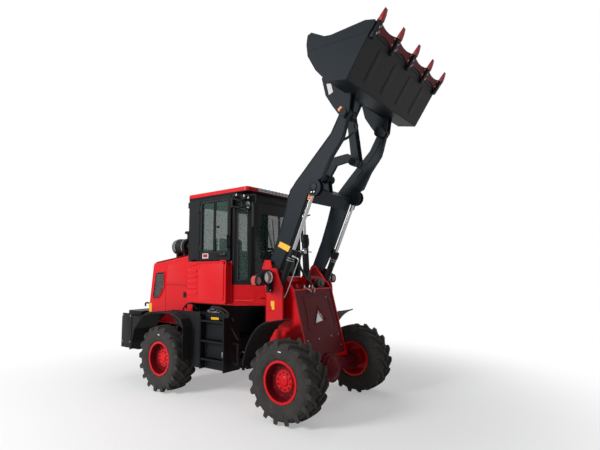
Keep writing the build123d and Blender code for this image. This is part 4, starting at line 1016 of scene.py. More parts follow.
def makeCounterweight():
    body = Shape()
    rear = weight["rear"]
    for sign in sides.values():
        body.box((rear + 0.002, sign * 0.60, 0.80), (rear + 0.016, sign * 0.78, 0.95), bevel=0.006)
        body.prism(rounded(rectangle(-1.22, -0.95, 0.56, 1.05), 0.03), "y",
                   sign * weight["half"], sign * (weight["half"] + 0.006), bevel=0.004)
        body.tube([(-1.15, sign * 0.45, 1.13), (-1.15, sign * 0.45, 1.18), (-1.09, sign * 0.45, 1.19),
                   (-1.03, sign * 0.45, 1.18), (-1.03, sign * 0.45, 1.13)], 0.014, sides=12)
    body.lathe((rear + 0.012, 0, 0.62), "x", [(0.0, -0.010), (0.055, -0.010), (0.055, 0.0), (0.04, 0.004),
                                              (0.0, 0.004)],
               sides=24)
    body.piece("weightTrim", "rear_frame", blackPaint)
    lens = Shape()
    for sign in sides.values():
        for y0, y1, finish in ((0.615, 0.685, 0), (0.695, 0.765, 1)):
            lens.box((rear + 0.0005, sign * y0, 0.815), (rear + 0.012, sign * y1, 0.935), bevel=0.003,
                     finish=finish)
    lens.piece("tailLamps", "rear_frame", [redLens, amberLens])
    makeBolts("weightBolts", "rear_frame", steel,
              [((x, sign * 0.826, z), (0, sign, 0)) for sign in sides.values() for x in (-1.19, -0.98)
               for z in (0.60, 1.01)], 0.016)


# air cleaner with its bands
cleaner = {"y": -0.35, "z": 2.122, "radius": 0.122, "start": -0.43, "end": -0.13}


def makeCleaner():
    y, z, radius = cleaner["y"], cleaner["z"], cleaner["radius"]
    can = Shape()
    profile = [(0.0, 0.0), (radius - 0.02, 0.0), (radius, 0.02)]
    for k in range(5):
        start = 0.045 + k * 0.045
        profile += [(radius, start), (radius + 0.005, start + 0.010), (radius + 0.005, start + 0.022),
                    (radius, start + 0.032)]
    profile += [(radius, 0.28), (radius - 0.02, 0.302), (0.0, 0.302)]
    can.lathe((cleaner["start"] - 0.001, y, z), "x", profile, sides=40)
    can.lathe((cleaner["end"] - 0.004, y, z), "x", [(0.066, 0.0), (0.066, 0.062), (0.074, 0.062), (0.074, 0.074),
                                                    (0.0, 0.074)], sides=32)
    can.tube([(-0.07, y, z), (0.02, y, z - 0.01), (0.09, y + 0.03, z - 0.08), (0.11, y + 0.05, z - 0.18)], 0.055,
             sides=24)
    can.lathe((-0.165, y, 2.22), "z", [(0.022, 0.0), (0.022, 0.10), (0.060, 0.112), (0.060, 0.140), (0.045, 0.150),
                                       (0.0, 0.155)], sides=32)
    can.piece("cleanerCan", "rear_frame", matteBlack)
    band = Shape()
    for x in (-0.395, -0.362, -0.19):
        band.lathe((x, y, z), "x", rectangle(radius + 0.006, radius + 0.009, 0.0, 0.016), sides=40, loop=True)
        band.box((x - 0.003, y - 0.02, z - radius - 0.024), (x + 0.019, y + 0.02, z - radius - 0.006), bevel=0.002)
    band.lathe((-0.06, y, z), "x", rectangle(0.075, 0.078, 0.0, 0.012), sides=32, loop=True)
    band.piece("cleanerBands", "rear_frame", chrome)


for hand, sign in sides.items():
    makeHoodSide(hand, sign)
    makeTank(hand, sign)
    makeLadder(hand, sign)
    makeRearFender(hand, sign)
makeHoodRear()
makeCounterweight()
makeCleaner()
print("hood, tanks, ladders and counterweight")

# cab
cab = {
    "side": 0.69, "doorFace": 0.717, "front": 1.43, "frontHalf": 0.54, "corner": 1.245,
    "door": (0.53, 1.195, 1.87, 2.768), "window": (0.60, 1.147, 1.99, 2.718),
    "roof": (2.81, 2.868),
}


def makeDoorTrim(hand, sign):
    face = sign * cab["doorFace"]
    x0, x1, z0, z1 = cab["door"]
    body = f"door_{hand}"
    trim = Shape()
    trim.frameOn(rounded(rectangle(x0 + 0.004, x1 - 0.004, z0 + 0.004, z1 - 0.004), 0.02), "y", face,
                 face + sign * 0.006, 0.018)
    trim.piece(f"doorRim.{hand}", body, blackPaint)
    gasket = Shape()
    a0, a1, b0, b1 = cab["window"]
    gasket.frameOn(rounded(rectangle(a0 - 0.012, a1 + 0.012, b0 - 0.012, b1 + 0.012), 0.03), "y",
                   face - sign * 0.001,
                   face + sign * 0.008, 0.022)
    inside, outside = face - sign * 0.014, face + sign * 0.004
    gasket.box((0.868, inside, b0), (0.884, outside, b1), bevel=0.002)
    gasket.box((0.850, inside, b0), (0.856, outside, b1))
    gasket.box((0.91, inside, 2.33), (0.95, outside, 2.36), bevel=0.003)
    for z in (2.05, 2.62):
        gasket.lathe((x0 - 0.004, sign * 0.722, z - 0.045), "z", rectangle(0.0, 0.019, 0.0, 0.09),
                     sides=20)
        gasket.box((x0 - 0.004, face, z - 0.04), (x0 + 0.07, face + sign * 0.012,
                   z + 0.04), bevel=0.003)
    gasket.piece(f"doorGasket.{hand}", body, matteBlack)
    lock = Shape()
    lock.prism(rounded(rectangle(0.90, 1.12, 1.925, 1.975), 0.012), "y", face, face + sign * 0.012, bevel=0.003)
    lock.tube([(0.93, face + sign * 0.014, 1.958), (0.99, face + sign * 0.030, 1.958),
               (1.05, face + sign * 0.030, 1.952),
               (1.10, face + sign * 0.022, 1.944)], 0.007, sides=10)
    lock.piece(f"doorLock.{hand}", body, blackPaint)
    key = Shape()
    key.disc((1.085, face + sign * 0.011, 1.958), "y", 0.009, sign * 0.006, sides=20)
    key.tube([(1.02, face + sign * 0.034, 1.957), (1.06, face + sign * 0.034, 1.951)], 0.004, sides=8)
    key.piece(f"doorKey.{hand}", body, chrome)
    if sign < 0:
        plate = Shape()
        plate.prism(rectangle(0.622, 0.748, 1.905, 1.98), "y", face, face + sign * 0.002)
        plate.piece("doorPlate", body, palePlate)
        inner = Shape()
        inner.prism(rectangle(0.640, 0.730, 1.920, 1.965), "y", face + sign * 0.002, face + sign * 0.003)
        inner.piece("doorPlateMark", body, darkRedPaint)


def makeCabSide(hand, sign):
    # pressed joint lines of the cab corner and gutters
    trim = Shape()
    x, y = cab["corner"], sign * cab["side"]
    trim.tube([(x, y, 1.55), (x, y, 2.2), (x, y, 2.80)], 0.009, sides=10, rounds=1)
    trim.tube([(0.28, y, 2.795), (x, y, 2.795)], 0.010, sides=10)
    trim.tube([(x, y, 2.795), (cab["front"], sign * cab["frontHalf"], 2.795)], 0.010, sides=10)
    trim.tube([(cab["front"] - 0.004, sign * (cab["frontHalf"] - 0.002), 1.56),
               (cab["front"] - 0.004, sign * (cab["frontHalf"] - 0.002), 2.79)], 0.010, sides=10)
    trim.piece(f"cabSeams.{hand}", "rear_frame", blackPaint)
    # corner window gasket
    run = Vector((cab["front"] - x, sign * cab["frontHalf"] - y))
    rim = Shape()
    rim.frameOn(rounded(rectangle(0.036, run.length - 0.036, 1.592, 2.708), 0.03), "y", -0.004, 0.006, 0.016,
                move=upright((x, y, 0), run, sign))
    rim.piece(f"cornerGasket.{hand}", "rear_frame", rubber)
    lamp = Shape()
    spot = Vector((1.40, sign * 0.605, 2.625))
    lamp.lathe(spot, "x", [(0.0, -0.05), (0.045, -0.045), (0.060, 0.0), (0.064, 0.0), (0.064, 0.022),
                           (0.054, 0.022),
                           (0.054, 0.008), (0.0, 0.008)], sides=32)
    lamp.tube([spot + Vector((-0.03, 0, 0.05)), spot + Vector((-0.035, 0, 0.10)), spot + Vector((-0.02, 0, 0.15))],
              0.010, sides=10)
    lamp.tube([(1.235, sign * 0.70, 2.71), (1.25, sign * 0.75, 2.715), (1.40, sign * 0.752, 2.665),
               (1.44, sign * 0.70, 2.645), (1.40, sign * 0.605, 2.70)], 0.011, sides=10)
    lamp.tube([(1.235, sign * 0.70, 2.615), (1.25, sign * 0.75, 2.605), (1.38, sign * 0.75, 2.575),
               (1.44, sign * 0.70, 2.59), (1.55, sign * 0.655, 2.60)], 0.011, sides=10)
    lamp.box((1.228, sign * 0.705, 2.585), (1.262, sign * 0.757, 2.735),
             bevel=0.004)
    lamp.box((1.36, sign * 0.62, 2.685), (1.45, sign * 0.70, 2.755), bevel=0.006)
    lamp.piece(f"workLampHousing.{hand}", "rear_frame", blackPaint)
    lens = Shape()
    lens.lathe(spot, "x", [(0.0, 0.020), (0.030, 0.019), (0.053, 0.012), (0.053, 0.009), (0.0, 0.009)], sides=32)
    lens.piece(f"workLampLens.{hand}", "rear_frame", lensSilver)
    fitting = Shape()
    for x, y, z in ((1.33, 0.745, 2.74), (1.43, 0.70, 2.72), (1.47, 0.66, 2.70)):
        fitting.lathe((x, sign * y, z), "z", [(0.0, 0.0), (0.014, 0.0), (0.014, 0.016), (0.008, 0.016),
                                              (0.008, 0.030),
                                              (0.0, 0.030)], sides=12)
    fitting.piece(f"lampFittings.{hand}", "rear_frame", steel)
    rear = Shape()
    rear.box((0.215, sign * 0.60, 2.675), (0.262, sign * 0.67, 2.765), bevel=0.008)
    rear.tube([(0.24, sign * 0.635, 2.72), (0.275, sign * 0.635, 2.74)], 0.012, sides=10)
    rear.piece(f"rearWorkLamp.{hand}", "rear_frame", blackPaint)


def makeCabFront():
    x = cab["front"]
    trim = Shape()
    trim.frameOn(rounded(rectangle(-0.50, 0.50, 1.592, 2.708), 0.05), "x", x - 0.004, x + 0.006,
                 0.018)
    trim.piece("screenGasket", "rear_frame", rubber)
    wiper = Shape()
    for sign in (-1, 1):
        wiper.tube([(x + 0.010, sign * 0.02, 1.66), (x + 0.030, sign * 0.09, 1.966),
                    (x + 0.028, sign * 0.146, 2.457)],
                   0.006, sides=8, rounds=2)
        wiper.tube([(x + 0.016, sign * 0.254, 2.361), (x + 0.022, sign * 0.10, 1.93)], 0.007, sides=8)
        wiper.lathe((x, sign * 0.02, 1.66), "x", [(0.0, 0.0), (0.024, 0.0), (0.024, 0.014), (0.012, 0.030),
                                                  (0.0, 0.030)],
                    sides=20)
    wiper.piece("wipers", "rear_frame", matteBlack)
    shade = Shape()
    shade.prism(rectangle(-0.48, 0.48, 2.52, 2.705), "x", x - 0.012, x - 0.006)
    shade.piece("sunBand", "rear_frame", matteBlack)
    skirt = Shape()
    skirt.tube([(1.585, -0.545, 1.36), (1.588, -0.3, 1.36), (1.588, 0.3, 1.36), (1.585, 0.545, 1.36)], 0.008,
               sides=10,
               rounds=1)
    skirt.redPiece("skirtPress", "rear_frame")
    for hand, sign in sides.items():
        line = Shape()
        line.tube([(1.22, sign * 0.694, 1.335), (1.40, sign * 0.662, 1.335), (1.52, sign * 0.628, 1.34),
                   (1.55, sign * 0.618, 1.38), (1.55, sign * 0.614, 1.45)], 0.006, sides=8)
        line.redPiece(f"skirtLine.{hand}", "rear_frame")


def makeRoof():
    low, high = cab["roof"]
    under = Shape()
    under.prism(rounded([(0.30, -0.665), (1.22, -0.665), (1.40, -0.52), (1.40, 0.52), (1.22, 0.665), (0.30, 0.665)],
                        0.02), "z", 2.786, low - 0.001)
    under.prism(rounded(rectangle(0.262, 1.488, -0.698, 0.698), 0.05), "z", low - 0.010,
                low - 0.0005)
    under.piece("headliner", "rear_frame", matteBlack)
    # louvred vent strip along the roof's front edge; the white plate behind its bars is painted light showing
    # through the vent
    strip = Shape()
    strip.box((1.4985, -0.50, low + 0.006), (1.5009, 0.56, high - 0.006))
    strip.piece("roofVentPlate", "rear_frame", whitePaint)
    rib = Shape()
    rib.box((1.4985, -0.004, low + 0.002), (1.5018, 0.004, high - 0.002))
    makeRow("roofVentBars", "rear_frame", slateBar, rib, 15, (0, -0.50, 0), (0, 1.06 / 14, 0))
    rail = Shape()
    rail.box((1.4985, -0.50, -0.0025), (1.5018, 0.56, 0.0025))
    makeRow("roofVentRails", "rear_frame", slateBar, rail, 3, (0, 0, low + 0.007), (0, 0, (high - low - 0.014) / 2))
    dome = Shape()
    dome.prism(rounded(rectangle(0.36, 1.36, -0.58, 0.58), 0.10), "z", high - 0.004, high + 0.022,
               bevel=0.010, steps=3)
    dome.redPiece("roofPanel", "rear_frame")


seatSize = {"low": 1.60, "half": 0.235}


def padMesh(shape, name):
    # a stuffed pad: voxel mesh that cloth pressure swells a little
    mesh = bpy.data.meshes.new(name)
    shape.mesh.transform(forward)
    shape.mesh.to_mesh(mesh)
    shape.mesh.free()
    pad = bpy.data.objects.new(name, mesh)
    bpy.context.scene.collection.objects.link(pad)
    remesh = pad.modifiers.new("fine", "REMESH")
    remesh.mode = "VOXEL"
    remesh.voxel_size = 0.012
    remesh.use_smooth_shade = True
    cloth = pad.modifiers.new("cloth", "CLOTH")
    cloth.settings.quality = 6
    cloth.settings.use_pressure = True
    cloth.settings.uniform_pressure_force = 3.0
    cloth.settings.effector_weights.gravity = 0.0
    cloth.settings.tension_stiffness = 25
    cloth.settings.compression_stiffness = 25
    cloth.settings.bending_stiffness = 1.0
    cloth.point_cache.frame_start = 1
    cloth.point_cache.frame_end = 12
    for step in range(1, 13):
        bpy.context.scene.frame_set(step)
        bpy.context.evaluated_depsgraph_get()
    graph = bpy.context.evaluated_depsgraph_get()
    flat = bpy.data.meshes.new_from_object(pad.evaluated_get(graph), preserve_all_data_layers=True, depsgraph=graph)
    bpy.data.objects.remove(pad)
    bpy.context.scene.frame_set(1)
    flat.name = name
    return flat


def makeSeat():
    low, half = seatSize["low"], seatSize["half"]
    base = Shape()
    base.prism([(0.50, 1.292), (0.84, 1.292), (0.80, 1.40), (0.86, 1.58), (0.86, 1.600), (0.48, 1.600),
                (0.48, 1.58),
                (0.54, 1.40)], "y", -0.185, 0.185, bevel=0.006)
    for y in (-0.17, 0.14):
        base.box((0.46, y, 1.292), (0.88, y + 0.03, 1.315), bevel=0.004)
    base.tube([(0.87, -0.12, 1.585), (0.90, -0.12, 1.575), (0.90, 0.12, 1.575), (0.87, 0.12, 1.585)], 0.008,
              sides=10)
    base.prism([(0.415, 1.66), (0.455, 1.66), (0.425, 2.20), (0.40, 2.20)], "y", -0.20, 0.20, bevel=0.008)
    seatBase = base.piece("seatBase", "rear_frame", matteBlack)
    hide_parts("seat")
    pads = {
        "cushion": [(0.45, low + 0.008), (0.86, low + 0.008), (0.885, low + 0.05), (0.87, low + 0.108),
                    (0.80, low + 0.112), (0.45, low + 0.10)],
        "back": [(0.455, 1.725), (0.55, 1.725), (0.545, 1.80), (0.495, 2.20), (0.46, 2.245), (0.415, 2.245),
                 (0.41, 2.20)],
    }
    for name, outline in pads.items():
        shape = Shape()
        shape.prism(outline, "y", -half + 0.012, half - 0.012, bevel=0.02, steps=3)
        mesh = padMesh(shape, f"seat.{name}")
        piece = asPiece(f"seat.{name}", mesh, "rear_frame", vinyl, 60)
    seam = Shape()
    for y in (-0.13, 0.13):
        seam.tube([(0.465, y, low + 0.113), (0.65, y, low + 0.119), (0.85, y, low + 0.116)], 0.0025, sides=6)
    seam.piece("seatPiping", "rear_frame", engineGrey)


def makeCabInside():
    dash = Shape()
    dash.prism([(1.20, 1.86), (1.24, 1.98), (1.34, 1.97), (1.385, 1.80), (1.385, 1.30), (1.30, 1.30), (1.27, 1.70)],
               "y",
               -0.30, 0.30, bevel=0.012, steps=3)
    dash.box((0.60, 0.28, 1.292), (1.02, 0.42, 1.78), bevel=0.02)
    dash.box((0.30, -0.60, 1.292), (0.40, 0.60, 1.95), bevel=0.02)
    for sign in (-1, 1):
        # dark lining of the lower walls
        dash.box((0.30, sign * 0.640, 1.55), (0.56, sign * 0.655, 2.70))
    dash.piece("dashboard", "rear_frame", matteBlack)
    lever = Shape()
    for x, y, height in ((0.92, 0.33, 2.02), (0.97, 0.37, 2.00), (0.72, 0.35, 1.95)):
        lever.tube([(x - 0.02, y, 1.77), (x, y, 1.88), (x + 0.01, y, height - 0.03)], 0.007, sides=10)
    lever.tube([(1.22, 0.05, 1.90), (1.16, 0.20, 1.95)], 0.006, sides=8)
    lever.piece("levers", "rear_frame", chrome)
    knob = Shape()
    for x, y, height in ((0.93, 0.33, 2.02), (0.98, 0.37, 2.00), (0.73, 0.35, 1.95)):
        knob.lathe((x, y, height - 0.03), "z", [(0.0, -0.02), (0.015, -0.015), (0.021, 0.005), (0.015, 0.028),
                                                (0.0, 0.034)],
                   sides=20)
    knob.piece("leverKnobs", "rear_frame", blackPaint)
    wheel = Shape()
    ring = [(0.168 + 0.013 * math.cos(a), 0.013 * math.sin(a)) for a in (2 * math.pi * i / 12 for i in range(12))]
    tilt = Matrix.Translation((1.138, 0, 2.006)) @ Matrix.Rotation(math.radians(-12), 4, "Y")
    wheel.lathe((0, 0, 0), "z", ring, sides=48, loop=True, move=tilt)
    for turn in (90, 210, 330):
        a = math.radians(turn)
        wheel.tube([(0.03 * math.cos(a), 0.03 * math.sin(a), -0.018), (0.10 * math.cos(a), 0.10 * math.sin(a),
                                                                       -0.012),
                    (0.165 * math.cos(a), 0.165 * math.sin(a), 0.0)], 0.008, sides=10, move=tilt)
    wheel.lathe((0, 0, 0), "z", [(0.0, -0.04), (0.040, -0.035), (0.046, -0.012), (0.034, 0.004), (0.0, 0.007)],
                sides=32,
                move=tilt)
    wheel.piece("steeringWheel", "rear_frame", matteBlack)
    gauge = Shape()
    for y in (-0.12, 0.0, 0.12):
        gauge.lathe((0, 0, 0), "z", [(0.0, 0.0), (0.042, 0.0), (0.042, 0.008), (0.036, 0.008), (0.036, 0.004),
                                     (0.0, 0.004)], sides=24,
                    move=Matrix.Translation((1.212, y, 1.918)) @ Matrix.Rotation(math.radians(-72), 4, "Y"))
    gauge.piece("gauges", "rear_frame", steel)


def makeMirror():
    glass = Shape()
    glass.prism(rounded(rectangle(-0.695, -0.57, 2.315, 2.615), 0.02), "x", 1.573, 1.5745)
    glass.prism(rounded(rectangle(1.225, 1.34, 2.315, 2.615), 0.02), "y", 0.7735, 0.7745)
    glass.piece("mirrorGlass", "rear_frame", chrome)
    back = Shape()
    back.prism(rounded(rectangle(-0.705, -0.56, 2.30, 2.63), 0.03), "x", 1.598, 1.612,
               bevel=0.006)
    back.tube([(1.60, -0.63, 2.47), (1.585, -0.635, 2.60), (1.585, -0.64, 2.66)], 0.009, sides=10)
    back.prism(rounded(rectangle(1.215, 1.35, 2.30, 2.63), 0.03), "y", 0.736, 0.75, bevel=0.005)
    back.piece("mirrorBack", "rear_frame", matteBlack)


for hand, sign in sides.items():
    makeDoorTrim(hand, sign)
    makeCabSide(hand, sign)
makeCabFront()
makeRoof()
makeSeat()
makeCabInside()
makeMirror()
print("cab")


def sheet(shape, outer, holes, thickness, move=None, **extra):
    # flat plate with holes, lying in its own x and y, thickened along z
    part = bmesh.new()
    edges = []
    for outline in [outer] + holes:
        corners = [part.verts.new((a, b, 0)) for a, b in outline]
        edges += [part.edges.new((one, two)) for one, two in zip(corners, corners[1:] + corners[:1])]
    bmesh.ops.triangle_fill(part, use_beauty=True, use_dissolve=False, edges=edges)
    made = bmesh.ops.extrude_face_region(part, geom=list(part.faces), use_keep_orig=True)
    bmesh.ops.translate(part, vec=(0, 0, thickness),
                        verts=[item for item in made["geom"] if isinstance(item, bmesh.types.BMVert)])
    shape.take(part, move=move, **extra)


def placed(origin, right, up):
    # matrix of a sheet's plane: its own x along right, its y along up
    right, up = Vector(right).normalized(), Vector(up).normalized()
    out = right.cross(up)
    return Matrix(((right.x, up.x, out.x, origin[0]), (right.y, up.y, out.y, origin[1]),
                   (right.z, up.z, out.z, origin[2]), (0, 0, 0, 1)))


# front frame
front = {
    "half": 0.427, "foot": (2.286, 0.610), "head": (2.053, 1.485), "archCentre": 0.47, "archRadius": 0.192,
    "window": [(0.020, 1.221), (-0.110, 1.034), (0.148, 1.056)],
}


def makeFrontPlate():
    foot, head = Vector((front["foot"][0], 0, front["foot"][1])), Vector((front["head"][0], 0, front["head"][1]))
    up = (head - foot).normalized()
    move = placed(foot, (0, 1, 0), up)
    length = (head - foot).length

    def along(y, z):
        return (y, (z - front["foot"][1]) / up.z)

    half = front["half"]
    reach = front["archRadius"]
    arch = [(reach * math.cos(math.radians(a)), front["archCentre"] + reach * math.sin(math.radians(a)))
            for a in range(130, 48, -8)]
    outer = [(-half, 0), (-0.129, 0)] + [along(y, z) for y, z in arch] + [(0.129, 0), (half, 0), (half, length),
                                                                        (-half, length)]
    hole = [along(y, z) for y, z in front["window"]]
    # painted shade: the plate's skin takes the deep red that stands for the shade on its forward face
    skin = Shape()
    sheet(skin, outer, [hole], 0.003, move=move)
    rim = inset(hole, -0.016)
    for i in range(3):
        j = (i + 1) % 3
        skin.prism([hole[i], hole[j], rim[j], rim[i]], "z", 0.003, 0.009, move=move)
    panel = rounded([along(-0.30, 0.955), along(0.36, 0.955), along(0.33, 1.20), along(0.30, 1.405),
                     along(-0.28, 1.405), along(-0.25, 1.20)], 0.07)
    ridge = inset(panel, 0.012)
    for i in range(len(panel)):
        j = (i + 1) % len(panel)
        skin.prism([panel[i], panel[j], ridge[j], ridge[i]], "z", 0.003, 0.008, move=move)
    skin.prism([along(-0.40, 0.905), along(0.40, 0.905), along(0.40, 0.913), along(-0.40, 0.913)], "z", 0.003,
               0.006,
               move=move)
    skin.piece("frontPlateSkin", "front_frame", paintedShadeRed, slot="red")
    pane = Shape()
    pane.prism(inset(hole, -0.012), "z", -0.024, -0.020, move=move)
    pane.piece("frontPlatePane", "front_frame", lensSilver)
    # painted highlight: a white strip along the window's slanted edge, on the pane behind it
    glint = Shape()
    glint.prism([(hole[0][0] + 0.002, hole[0][1] - 0.01), (hole[2][0] - 0.028, hole[2][1] + 0.045),
                 (hole[2][0] - 0.045, hole[2][1] + 0.035), (hole[0][0] - 0.012, hole[0][1] - 0.03)], "z", -0.020,
                -0.018,
                move=move)
    glint.piece("frontPlateRib", "front_frame", whitePaint)
    makeBolts("frontPlateBolts", "front_frame", steel,
              [(move @ Vector((*along(y, z), 0.003)), move.to_3x3() @ Vector((0, 0, 1)))
               for y, z in ((-0.108, 0.839), (0.185, 0.843), (0.36, 0.846), (0.37, 0.706), (-0.36, 0.846),
                            (0.266, 1.353),
                            (-0.36, 0.706))], 0.010)
    # painted shade: deep red sheets on the inner faces of the towers and the floor between them
    inside = Shape()
    for sign in sides.values():
        face = sign * 0.4275
        inside.prism([(1.72, 1.26), (1.72, 1.70), (1.76, 1.775), (1.80, 1.775), (1.85, 1.71), (2.03, 1.49),
                      (1.80, 1.49)],
                     "y", face - sign * 0.003, face)
        inside.prism(rectangle(sign * 0.4475, sign * 0.565, 1.09, 1.45), "x",
                     1.7352, 1.738)
    inside.prism(rectangle(1.80, 2.05, -0.427, 0.427), "z", 1.4855, 1.488)
    inside.piece("towerInside", "front_frame", paintedShadeRed, slot="red")


def makeTowers():
    for hand, sign in sides.items():
        face = sign * 0.585
        cap = Shape()
        for x, z, radius in ((1.78, 1.72, 0.040), (1.79, 1.25, 0.036)):
            cap.lathe((x, face, z), "y", [(0.0, 0.0), (radius, 0.0), (radius, sign * 0.006),
                                          (radius - 0.004, sign * 0.010),
                                          (0.0, sign * 0.010)], sides=28)
        cap.box((1.735, face, 1.70), (1.825, face + sign * 0.006, 1.74), bevel=0.002)
        cap.piece(f"pinPlates.{hand}", "front_frame", redPaint)
        bead = Shape()
        outline = [(1.727, 1.075), (1.727, 1.49), (1.644, 1.622), (1.644, 1.718), (1.702, 1.859), (1.798, 1.859),
                   (1.828, 1.756), (1.898, 1.751), (1.996, 1.50), (2.002, 1.114), (1.958, 1.074)]
        bead.frameOn(outline, "y", face, face + sign * 0.003, 0.010)
        bead.redPiece(f"towerBead.{hand}", "front_frame")
        plate = Shape()
        plate.prism(rectangle(1.81, 1.869, 1.232, 1.34), "y", face, face + sign * 0.003)
        plate.prism(rectangle(1.80, 1.82, 1.62, 1.65), "y", sign * 0.5645, sign * 0.562)
        plate.piece(f"towerPlate.{hand}", "front_frame", yellowPlate)
        makeBolts(f"towerBolts.{hand}", "front_frame", steel,
                  [((1.76, sign * 0.589, 1.72), (0, sign, 0)), ((1.80, sign * 0.589, 1.72), (0, sign, 0))], 0.010)
        # bracket, sticker and bolts between the side box and the front arch
        bracket = Shape()
        bracket.prism([(1.66, 0.60), (1.70, 0.60), (1.745, 0.76), (1.79, 0.90), (1.83, 0.96), (1.80, 0.985),
                       (1.74, 0.97), (1.68, 0.86)], "y", sign * 0.60, sign * 0.606, bevel=0.001)
        bracket.box((1.63, sign * 0.56, 0.41), (1.76, sign * 0.61, 0.56), bevel=0.006)
        bracket.redPiece(f"archBracket.{hand}", "front_frame")
        sticker = Shape()
        sticker.prism([(1.735, 0.985), (1.80, 0.985), (1.82, 1.06), (1.75, 1.06)], "y", sign * 0.6005,
                      sign * 0.6095)
        sticker.piece(f"archPlate.{hand}", "front_frame", yellowPlate)
        makeBolts(f"archBolts.{hand}", "front_frame", steel,
                  [((1.70, sign * 0.606, 0.90), (0, sign, 0)), ((1.70, sign * 0.606, 0.83), (0, sign, 0)),
                   ((1.70, sign * 0.606, 0.76), (0, sign, 0))], 0.016)
    hoses = Shape()
    for sign in (-1, 1):
        hoses.tube([(1.62, sign * 0.20, 0.98), (1.66, sign * 0.24, 1.15), (1.72, sign * 0.30, 1.30),
                    (1.80, sign * 0.40, 1.36)], 0.016, sides=12)
        hoses.tube([(1.20, sign * 0.16, 0.90), (1.33, sign * 0.22, 0.84), (1.48, sign * 0.19, 0.90),
                    (1.58, sign * 0.17, 0.95)], 0.017, sides=12)
    hoses.piece("frameHoses", "front_frame", hoseRubber)
    fittings = Shape()
    for y, z in ((-0.149, 1.49), (0.034, 1.487)):
        fittings.lathe((2.022, y, z), "z", [(0.0, 0.0), (0.020, 0.0), (0.020, 0.014), (0.013, 0.014),
                                            (0.013, 0.040),
                                            (0.0, 0.040)], sides=12)
    fittings.tube([(2.03, -0.149, 1.50), (2.075, -0.13, 1.475), (2.085, -0.07, 1.44)], 0.008, sides=10)
    fittings.tube([(2.03, 0.034, 1.50), (2.075, 0.02, 1.47), (2.085, -0.02, 1.43)], 0.008, sides=10)
    fittings.piece("frameFittings", "front_frame", steel)
    flange = Shape()
    flange.lathe((2.0, 0.27, 1.545), "x", [(0.0, -0.05), (0.085, -0.05), (0.085, 0.012), (0.070, 0.018),
                                           (0.0, 0.018)],
                 sides=36)
    flange.lathe((2.0, 0.27, 1.545), "x", rectangle(0.0, 0.03, 0.018, 0.032), sides=20)
    flange.piece("frameFlange", "front_frame", brownCast)


def makeAxle(end, body, x, deep):
    cast = Shape()
    for sign in sides.values():
        for k in range(2):
            start = 0.42 + k * 0.10
            cast.lathe((x, sign * start, 0.47), "y", rectangle(0.072, 0.098, 0.0, sign * 0.016), sides=32,
                       loop=True)
    way = 1 if end == "front" else -1
    radius = 0.18 if end == "front" else 0.15
    cast.lathe((x, 0, 0.47), "x", [(radius * 0.82, way * radius * 0.50), (radius * 1.0, way * radius * 0.50),
                                   (radius * 1.0, way * radius * 0.60), (radius * 0.78, way * radius * 0.60)],
               sides=40, loop=True)
    cast.lathe((x, 0, 0.47), "x", [(0.0, way * (radius - 0.012)), (0.03, way * (radius - 0.012)),
                                   (0.03, way * (radius + 0.006)), (0.0, way * (radius + 0.006))], sides=6)
    cast.piece(f"axleCasting.{end}", body, deep, slot="red")
    places = []
    for k in range(12):
        a = 2 * math.pi * k / 12
        places.append(((x + way * radius * 0.60, radius * 0.89 * math.cos(a), 0.47 + radius * 0.89 * math.sin(a)),
                       (way, 0, 0)))
    makeBolts(f"axleBolts.{end}", body, deep, places, 0.011)


# headlamps stand in for the plain ones
headlamp = {"lamp": (0.684, 1.645, 0.098), "indicator": (0.850, 1.604, 0.068), "x": (1.755, 1.850)}


